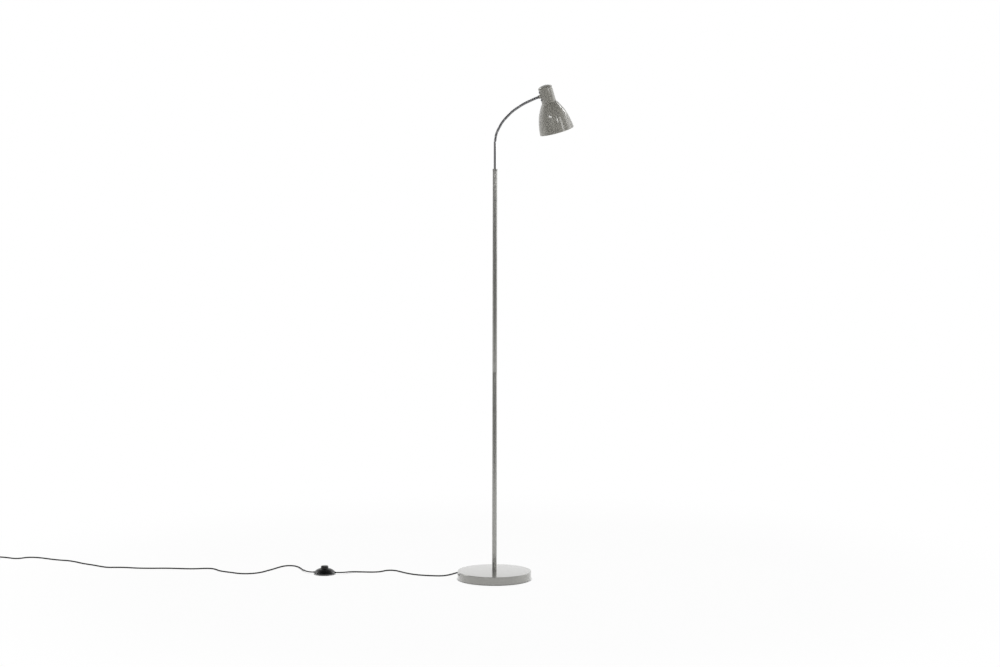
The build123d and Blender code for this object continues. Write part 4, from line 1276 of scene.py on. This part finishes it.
# ------------------------------------------------------------------ foot switch
@dataclass
class FootSwitch:
    """Round floor switch: two shells, a domed button and two strain reliefs."""

    centre: Pair = (-435.0, 281.0)
    angle: float = -30.0
    radius: float = 32.5
    foot_radius: float = 26.0
    low: float = 1.2
    split: float = 5.5
    crown: float = 17.6
    hole: float = 11.6
    wall: float = 2.0
    relief_tip: float = 34.0
    button_radius: float = 11.3
    button_top: float = 26.0
    spring_radius: float = 6.2
    spring_wire: float = 0.5
    spring_seat: float = 7.8
    spring_foot: float = 8.4
    spring_height: float = 13.0
    spring_turns: int = 5
    spring_keep: float = 0.75

    def __post_init__(self) -> None:
        """Find the switch's axis and the way of the lead through it."""
        self.way = heading(self.angle)
        self.middle = Vector((*self.centre, 0))
        self.spindle = Spindle(self.middle, UP, self.way)

    @staticmethod
    def arc(first: Pair, through: Pair, last: Pair, steps: int) -> list[Pair]:
        """Points of the circle through three points, without its first point.

        Args:
            first: where the arc begins.
            through: a point on it.
            last: where it ends.
            steps: number of points.

        Returns:
            The points.
        """
        (ax, ay), (bx, by), (cx, cy) = first, through, last
        d = 2 * (ax * (by - cy) + bx * (cy - ay) + cx * (ay - by))
        sa, sb, sc = ax**2 + ay**2, bx**2 + by**2, cx**2 + cy**2
        ux = (sa * (by - cy) + sb * (cy - ay) + sc * (ay - by)) / d
        uy = (sa * (cx - bx) + sb * (ax - cx) + sc * (bx - ax)) / d
        radius = math.hypot(ax - ux, ay - uy)
        start = math.atan2(ay - uy, ax - ux)
        middle = (math.atan2(by - uy, bx - ux) - start) % (2 * math.pi)
        sweep = (math.atan2(cy - uy, cx - ux) - start) % (2 * math.pi)
        if middle > sweep:
            sweep -= 2 * math.pi
        angles = [start + sweep * (step + 1) / steps for step in range(steps)]
        return [(ux + radius * math.cos(angle), uy + radius * math.sin(angle)) for angle in angles]

    def build(self) -> None:
        """Build the shells, the button and the reliefs, and dress the inside."""
        self.shells()
        self.button()
        self.reliefs()
        dress(Finish.TRIM_PLASTIC, "switch_module")
        self.spring()
        dress(Finish.ZINC, "switch_screws")
        dress(Finish.LEAD_RUBBER, "switch_feet")

    def shells(self) -> None:
        """Build the lower and the upper shell, with a fine step where they meet."""
        low, split, foot = self.low, self.split, self.foot_radius
        edge = self.arc(
            (low, foot), (split - 2.6, self.radius - 1.7), (split - 0.25, self.radius - 0.1), 12
        )
        outline = [
            (low, 0.0),
            (low, foot),
            *edge,
            (split - 0.12, self.radius - 0.5),
            (split - 0.12, self.radius - self.wall),
            (low + self.wall, foot),
            (low + self.wall, 0.0),
        ]
        piece = turned("switch_lower", self.spindle, outline, Finish.SWITCH_PLASTIC, 128, False)
        settle(piece, "stand", ["switch_bottom"])

        rise = self.arc(
            (split + 0.3, self.radius - 0.03),
            (split + 7.1, self.radius - 7.2),
            (self.crown, self.hole + self.wall),
            24,
        )
        inner = self.arc(
            (self.crown - self.wall, self.hole + self.wall),
            (split + 5.3, self.radius - 8.4),
            (split + 0.12, self.radius - self.wall),
            16,
        )
        outline = [(split + 0.12, self.radius - 0.5), (split + 0.3, self.radius - 0.03), *rise]
        outline += [
            (self.crown, self.hole + 0.5),
            (self.crown - 0.15, self.hole + 0.15),
            (self.crown - 0.5, self.hole),
            (self.crown - self.wall, self.hole),
            (self.crown - self.wall, self.hole + self.wall),
            *inner,
        ]
        piece = turned("switch_upper", self.spindle, outline, Finish.SWITCH_PLASTIC, 128)
        settle(piece, "stand", ["switch_top"])

    def button(self) -> None:
        """Build the button, with a shallow ring pressed into its top."""
        radius, top = self.button_radius, self.button_top
        foot = self.crown - self.wall - 0.3
        outline = [
            (top - 4, 0.0),
            (top - 4, 9.0),
            (foot - 2.2, 9.0),
            (foot - 2.2, radius + 2.1),
            (foot, radius + 2.1),
            (foot, radius),
            (top - 2.4, radius),
        ]
        shoulder = (top - 0.9, radius - 0.8)
        outline += self.arc((top - 2.4, radius), shoulder, (top - 0.3, radius - 2.4), 8)
        outline += [(top - 0.24, 8.2), (top - 0.55, 7.9), (top - 0.55, 7.4), (top - 0.2, 7.1)]
        outline += [(top - 0.08, 4.0), (top, 0.0)]
        piece = turned("switch_cap", self.spindle, outline, Finish.BUTTON_PLASTIC, 96, False)
        settle(piece, "button", ["switch_button"])

    def spring(self) -> None:
        """Build the coil spring under the button."""
        mesh = bmesh.new()
        steps, sides = self.spring_turns * 32, 10
        rings = []
        for step in range(steps + 1):
            angle = 2 * math.pi * self.spring_turns * step / steps
            out = Vector((math.cos(angle), math.sin(angle), 0))
            rise = self.spring_height / (2 * math.pi * self.spring_turns)
            forward = Vector((-math.sin(angle), math.cos(angle), rise / self.spring_radius))
            forward.normalize()
            over = out.cross(forward)
            middle = self.middle + out * self.spring_radius
            middle.z = self.spring_foot + self.spring_height * step / steps
            turns = [2 * math.pi * side / sides for side in range(sides)]
            spokes = [out * math.cos(turn) + over * math.sin(turn) for turn in turns]
            places = [(middle + spoke * self.spring_wire) * MM for spoke in spokes]
            rings.append([mesh.verts.new(place) for place in places])
        bridge(mesh, rings)
        mesh.faces.new(rings[0])
        mesh.faces.new(rings[-1])
        piece = new_piece("switch_coil_spring", mesh, 60.0)
        piece.data.materials.append(Finish.ZINC.material())
        settle(piece, "stand", ["switch_spring"])
        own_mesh(piece)

    def reliefs(self) -> None:
        """Build the strain relief on each side of the switch."""
        for name, side in (("relief_near", 1.0), ("relief_far", -1.0)):
            spindle = Spindle(self.middle + UP * self.split, self.way * side, UP)
            outline = [(14.0, 0.0), (14.0, 2.6), (26.0, 2.6), (26.0, 2.9), (self.radius - 1.6, 2.9)]
            tip = self.relief_tip
            outline += [(self.radius - 0.6, 2.85), (33.1, 2.6), (33.7, 2.4), (tip, 2.2), (tip, 0.0)]
            piece = turned(name, spindle, outline, Finish.TRIM_PLASTIC, 40, False)
            settle(piece, "stand", ["switch_reliefs"])


# ------------------------------------------------------------------ lead
@dataclass
class Lead:
    """The mains lead: base to foot switch, foot switch to its put-away coil, and the plug."""

    switch: FootSwitch
    base: Base
    radius: float = 1.8
    rest: float = 1.85
    straight: float = 12.0
    coil_way: float = 155.0
    coil_radius: float = 24.0
    coil_step: float = 4.1
    coil_turns: int = 2
    coil_rise: float = 4.5
    coil_start: Triple = (-1305.0, 982.0, 2.5)
    points_per_turn: int = 16

    def resting(self, *places: Pair) -> list[Triple]:
        """Points of the lead's middle line where it lies on the floor."""
        return [(*place, self.rest) for place in places]

    def to_switch(self) -> list[Triple]:
        """Route from the base's strain relief to the foot switch, in mm."""
        out = heading(self.base.exit_angle)
        tip = out * self.base.grommet_tip + UP * self.base.exit_height
        switch = self.switch
        end = switch.middle + switch.way * switch.relief_tip + UP * switch.split
        return [
            tuple(tip),
            tuple(tip + out * 14),
            (17, 154, 4.2),
            (1, 162, 2.7),
            *self.resting(
                (-18, 160), (-37, 150), (-58, 135), (-83.6, 118.1), (-107, 104), (-129, 101),
                (-150, 113), (-172, 130), (-190, 149), (-203, 174), (-211, 200), (-215.4, 221),
                (-220, 237), (-230.5, 250), (-246.5, 253), (-260.5, 245), (-273.5, 240),
                (-289, 241.5), (-307, 250), (-328, 263),
            ),
            (-346, 270, 2.4),
            (-360, 268, 3.4),
            (-372, 261, 4.6),
            (-383.5, 257, 5.3),
            tuple(end + switch.way * self.straight),
            tuple(end),
        ]

    def to_coil(self) -> list[Triple]:
        """Route from the foot switch over the floor to the coil's start, in mm."""
        switch = self.switch
        start = switch.middle - switch.way * switch.relief_tip + UP * switch.split
        return [
            tuple(start),
            tuple(start - switch.way * self.straight),
            (-479, 319, 5.6),
            (-480, 331, 5.4),
            (-477, 346, 4.6),
            *self.resting(
                (-475, 362), (-471.5, 386), (-470, 408), (-471, 427), (-477, 442), (-490, 450),
                (-505, 449), (-520, 440), (-537, 427), (-556, 411), (-576.5, 397), (-599, 380),
                (-624, 371), (-651, 373), (-672, 388), (-687, 414), (-701, 435), (-711, 456),
                (-712, 479), (-718, 498), (-735, 510), (-760, 514), (-785, 523), (-813, 542),
                (-847, 563), (-891, 580), (-929, 601), (-954, 625), (-980, 638), (-1005, 647),
                (-1020, 674), (-1035, 708), (-1054, 739), (-1066, 776), (-1083, 810),
                (-1104, 827), (-1124, 853), (-1141, 881), (-1158, 903), (-1175, 915),
                (-1191, 917), (-1207, 910), (-1221, 911), (-1232, 920), (-1241, 936),
                (-1254, 952),
            ),
            (-1271, 965, 2.1),
            tuple(Vector(self.coil_start) - heading(self.coil_way) * 16),
        ]

    def coil(self) -> list[Triple]:
        """Turns of the put-away coil: in on the floor, up, out again, and on to the plug."""
        way = heading(self.coil_way)
        left = Vector((-way.y, way.x, 0))
        start = Vector(self.coil_start)
        centre = start + left * self.coil_radius
        middle = 2 * math.pi * self.coil_turns
        count = 2 * self.coil_turns * self.points_per_turn
        points = []
        for index in range(1, count):
            angle = 2 * middle * index / count
            inward = self.coil_step * (middle - abs(angle - middle)) / (2 * math.pi)
            radius = (self.coil_radius - inward) * 1.012
            share = min(max((angle - middle) / math.pi + 0.5, 0.0), 1.0)
            rise = self.coil_rise * share * share * (3 - 2 * share)
            turn = math.radians(self.coil_way) - math.pi / 2 + angle
            spoke = Vector((math.cos(turn), math.sin(turn), 0))
            points.append(tuple(centre + spoke * radius + UP * rise))
        top = start + UP * self.coil_rise
        return points + [tuple(top + way * 0.4), tuple(top + way * 4.0)]

    def curve(self, name: str, route: list[Triple]) -> bpy.types.Object:
        """Make a round lead along a smooth line.

        Args:
            name: the piece's name.
            route: control points in mm.

        Returns:
            The piece.
        """
        data = bpy.data.curves.new(name, "CURVE")
        data.dimensions = "3D"
        spline = data.splines.new("NURBS")
        spline.points.add(len(route) - 1)
        for point, place in zip(spline.points, route):
            point.co = (*(value * MM for value in place), 1.0)
        spline.order_u = 3
        spline.use_endpoint_u = True
        spline.resolution_u = 8
        data.bevel_depth = self.radius * MM
        data.bevel_resolution = 6
        data.use_fill_caps = True
        data.materials.append(Finish.LEAD_RUBBER.material())
        return placed(name, data)

    def build(self) -> None:
        """Lay the two stretches of lead, and dress the tie and the plug."""
        near = self.to_switch()
        first = self.curve("lead_to_switch", near)
        settle(first, "stand", ["cord_to_switch"])
        tuple(value * MM for value in near[0])
        2 * self.radius * MM
        far = self.to_coil()
        second = self.curve("lead_to_plug", far + self.coil())
        settle(second, "stand", ["cord_to_plug", "cord_coil"])
        tuple(value * MM for value in far[0])
        2 * self.radius * MM
        dress(Finish.TRIM_PLASTIC, "cord_tie", "plug_relief", "plug_body")
        dress(Finish.CAP_METAL, "plug_pins")


# ------------------------------------------------------------------ studio
@dataclass(frozen=True)
class Panel:
    """A bright panel far off in the room, by compass and height as seen from the lamp.

    Turn is 0 towards the camera and 90 to its right. All angles are in degrees.
    """

    turn: float
    rise: float
    width: float
    height: float
    glow: float
    soft: float = 3.0


@dataclass
class Studio:
    """White sweep, a darker room before it, soft panels and the photograph's camera."""

    azimuth: float = -24.7
    pitch: float = 5.109
    roll: float = 0.1
    height: float = 1.3969
    distance: float = 7.3821
    offset: float = 0.0156
    lens: float = 90.0
    panels: list[Panel] = field(
        default_factory=lambda: [
            Panel(98, 8, 36, 44, 1.5, 14.0),
            Panel(130, 31, 6, 15, 13.0),
            Panel(-106, 4, 26, 56, 0.45, 12.0),
            Panel(-118, 35, 12, 9, 16.0),
            Panel(-26, 15.5, 22, 4, 5.0),
            Panel(19, 19, 8, 8, 9.0),
            Panel(-44, -11, 7, 14, 2.0),
            Panel(-95, -14, 9, 16, 1.4),
        ]
    )

    def __post_init__(self) -> None:
        """Find the level directions to the camera's right and away from it."""
        self.right = heading(self.azimuth)
        self.away = Vector((-self.right.y, self.right.x, 0))

    def build(self) -> None:
        """Set up the camera, the floor, the world and the lights."""
        bpy.context.scene.view_settings.view_transform = "Standard"
        self.camera()
        self.floor()
        self.world()
        self.lights()

    def camera(self) -> None:
        """Place the camera as the photograph's."""
        data = bpy.data.cameras.new("photo_camera")
        data.lens = self.lens
        data.sensor_width = 36.0
        data.clip_end = 100.0
        camera = placed("photo_camera", data)
        tilt = math.radians(self.pitch)
        look = self.away * math.cos(tilt) - UP * math.sin(tilt)
        camera.location = self.spot((self.offset, -self.distance, self.height))
        lean = Matrix.Rotation(math.radians(self.roll), 3, "Z")
        camera.rotation_euler = (look.to_track_quat("-Z", "Y").to_matrix() @ lean).to_euler()
        bpy.context.scene.camera = camera

    def spot(self, place: Triple) -> Vector:
        """Point from metres to the camera's right, away from it, and up."""
        return self.right * place[0] + self.away * place[1] + UP * place[2]

    @staticmethod
    def along(graph: Graph, ray: Socket, way: Vector) -> Socket:
        """How far a direction or place lies along a way.

        Args:
            graph: the graph to add to.
            ray: the direction or place.
            way: the unit way.

        Returns:
            The number.
        """
        inputs = {0: ray, 1: tuple(way)}
        return graph.add("ShaderNodeVectorMath", {"operation": "DOT_PRODUCT"}, inputs, "Value")

    def floor(self) -> None:
        """Lay a wide floor that is white to the eye and keeps the lamp's shadow.

        In mirrors it is white near the lamp and behind it, and dim in the room before it. Ambient
        occlusion cuts the white back where things stand close over the floor. This is a painted
        contact shade, and through it the matte floor's own shadow shows.
        """
        mesh = bmesh.new()
        bmesh.ops.create_grid(mesh, x_segments=8, y_segments=8, size=30.0)
        floor = new_piece("studio_floor", mesh)
        material, graph = new_material("studio_floor")
        place = graph.place()
        grain = graph.noise(2.0, 3.0)
        path = graph.add("ShaderNodeLightPath", take="Is Camera Ray")
        kinds = path.link.node.outputs
        glossy = Socket(graph, kinds["Is Glossy Ray"])
        passed = Socket(graph, kinds["Is Transmission Ray"])
        mirrored = (glossy + passed).eased(0.0, 0.6)
        far = self.along(graph, place, self.away).eased(-2.8, -1.2)
        distance = graph.add("ShaderNodeVectorMath", {"operation": "LENGTH"}, {0: place}, "Value")
        shadowless = distance.eased(0.9, 1.8)
        tint = graph.blend((0.88, 0.88, 0.88), (0.91, 0.91, 0.91), grain)
        dim = graph.blend((0.10, 0.10, 0.10), WHITE, far)
        glow = graph.blend(WHITE, dim, mirrored)
        matte = graph.add("ShaderNodeBsdfPrincipled", None, {"Base Color": tint, "Roughness": 1.0})
        white = graph.add("ShaderNodeEmission", None, {"Color": glow, "Strength": 1.0})
        # painted contact shade: ambient occlusion lowers the white where the floor lies close under
        # the lamp, the switch and the lead, so only there the matte floor's real shadow shows
        contact_occlusion = graph.add("ShaderNodeAmbientOcclusion", {"samples": 8}, {"Distance": 0.005}, "AO")
        painted_contact_shade = contact_occlusion.eased(0.4, 1.0)
        shown = path * painted_contact_shade * (0.955 + 0.045 * shadowless) + 0.85 * mirrored
        surface = graph.add("ShaderNodeMixShader", None, {0: shown, 1: matte, 2: white})
        graph.add("ShaderNodeOutputMaterial", None, {"Surface": surface})
        floor.data.materials.append(material)

    def world(self) -> None:
        """Light the room: a white sweep behind, a dim room in front, and the panels."""
        world = bpy.data.worlds.new("studio_room")
        bpy.context.scene.world = world
        world.use_nodes = True
        graph = Graph(world.node_tree)
        ray = graph.add("ShaderNodeTexCoord", take="Generated")
        beside = self.along(graph, ray, self.right)
        behind = self.along(graph, ray, self.away)
        above = self.along(graph, ray, UP)
        turn = graph.add("ShaderNodeMath", {"operation": "ARCTAN2"}, {0: beside, 1: 0.0 - behind})
        rise = graph.add("ShaderNodeMath", {"operation": "ARCSINE"}, {0: above})
        back = behind.eased(-0.35, 0.6)
        roof = above.eased(0.45, 0.9)
        level = (0.17 + 0.83 * back) * (1.0 - 0.9 * roof)
        for panel in self.panels:
            level = level + self.panel_glow(panel, turn, rise)
        path = graph.add("ShaderNodeLightPath", take="Is Camera Ray")
        shown = graph.blend(graph.grey(level), WHITE, path)
        light = graph.add("ShaderNodeBackground", None, {"Color": shown, "Strength": 1.0})
        graph.add("ShaderNodeOutputWorld", None, {"Surface": light})

    @staticmethod
    def panel_glow(panel: Panel, turn: Socket, rise: Socket) -> Socket:
        """Light of one panel in each direction, with soft edges.

        Args:
            panel: the panel.
            turn: compass of the direction, in radians.
            rise: its height, in radians.

        Returns:
            The light.
        """
        glow = None
        sides = ((turn, panel.turn, panel.width), (rise, panel.rise, panel.height))
        for value, centre, size in sides:
            low, high = centre - size / 2, centre + size / 2
            half = panel.soft / 2
            opening, closing = (
                value.eased(math.radians(edge - half), math.radians(edge + half))
                for edge in (low, high)
            )
            share = opening - closing
            glow = share if glow is None else glow * share
        return glow * panel.glow

    def lamp(self, name: str, place: Triple, aim: Triple, size: Pair, power: float) -> None:
        """Hang one softbox.

        Args:
            name: its name.
            place: metres to the camera's right, away from it, and up.
            aim: the point that it faces, in the same way.
            size: width and height in metres.
            power: watts.
        """
        data = bpy.data.lights.new(name, "AREA")
        data.shape = "RECTANGLE"
        data.size, data.size_y = size
        data.energy = power
        light = placed(name, data)
        light.location = self.spot(place)
        look = self.spot(aim) - self.spot(place)
        light.rotation_euler = look.to_track_quat("-Z", "Y").to_euler()

    def lights(self) -> None:
        """Hang a wide softbox high on each side of the camera."""
        self.lamp("right_box", (3.2, -3.0, 2.6), (0.0, 0.0, 0.7), (0.9, 1.8), 24.0)
        self.lamp("left_box", (-1.9, -3.6, 2.6), (0.0, 0.0, 0.7), (1.4, 0.3), 16.0)


def main() -> None:
    """Build every sub-assembly in order and light the studio."""
    logging.basicConfig(level=logging.INFO, format="%(name)s: %(message)s")
    base = Base()
    neck = WoundNeck()
    switch = FootSwitch()
    parts = (base, Pole(), neck, Head(neck), switch, Lead(switch, base), Studio())
    for part in parts:
        part.build()
        log.info("%s is done", type(part).__name__)


if __name__ == "__main__":
    main()
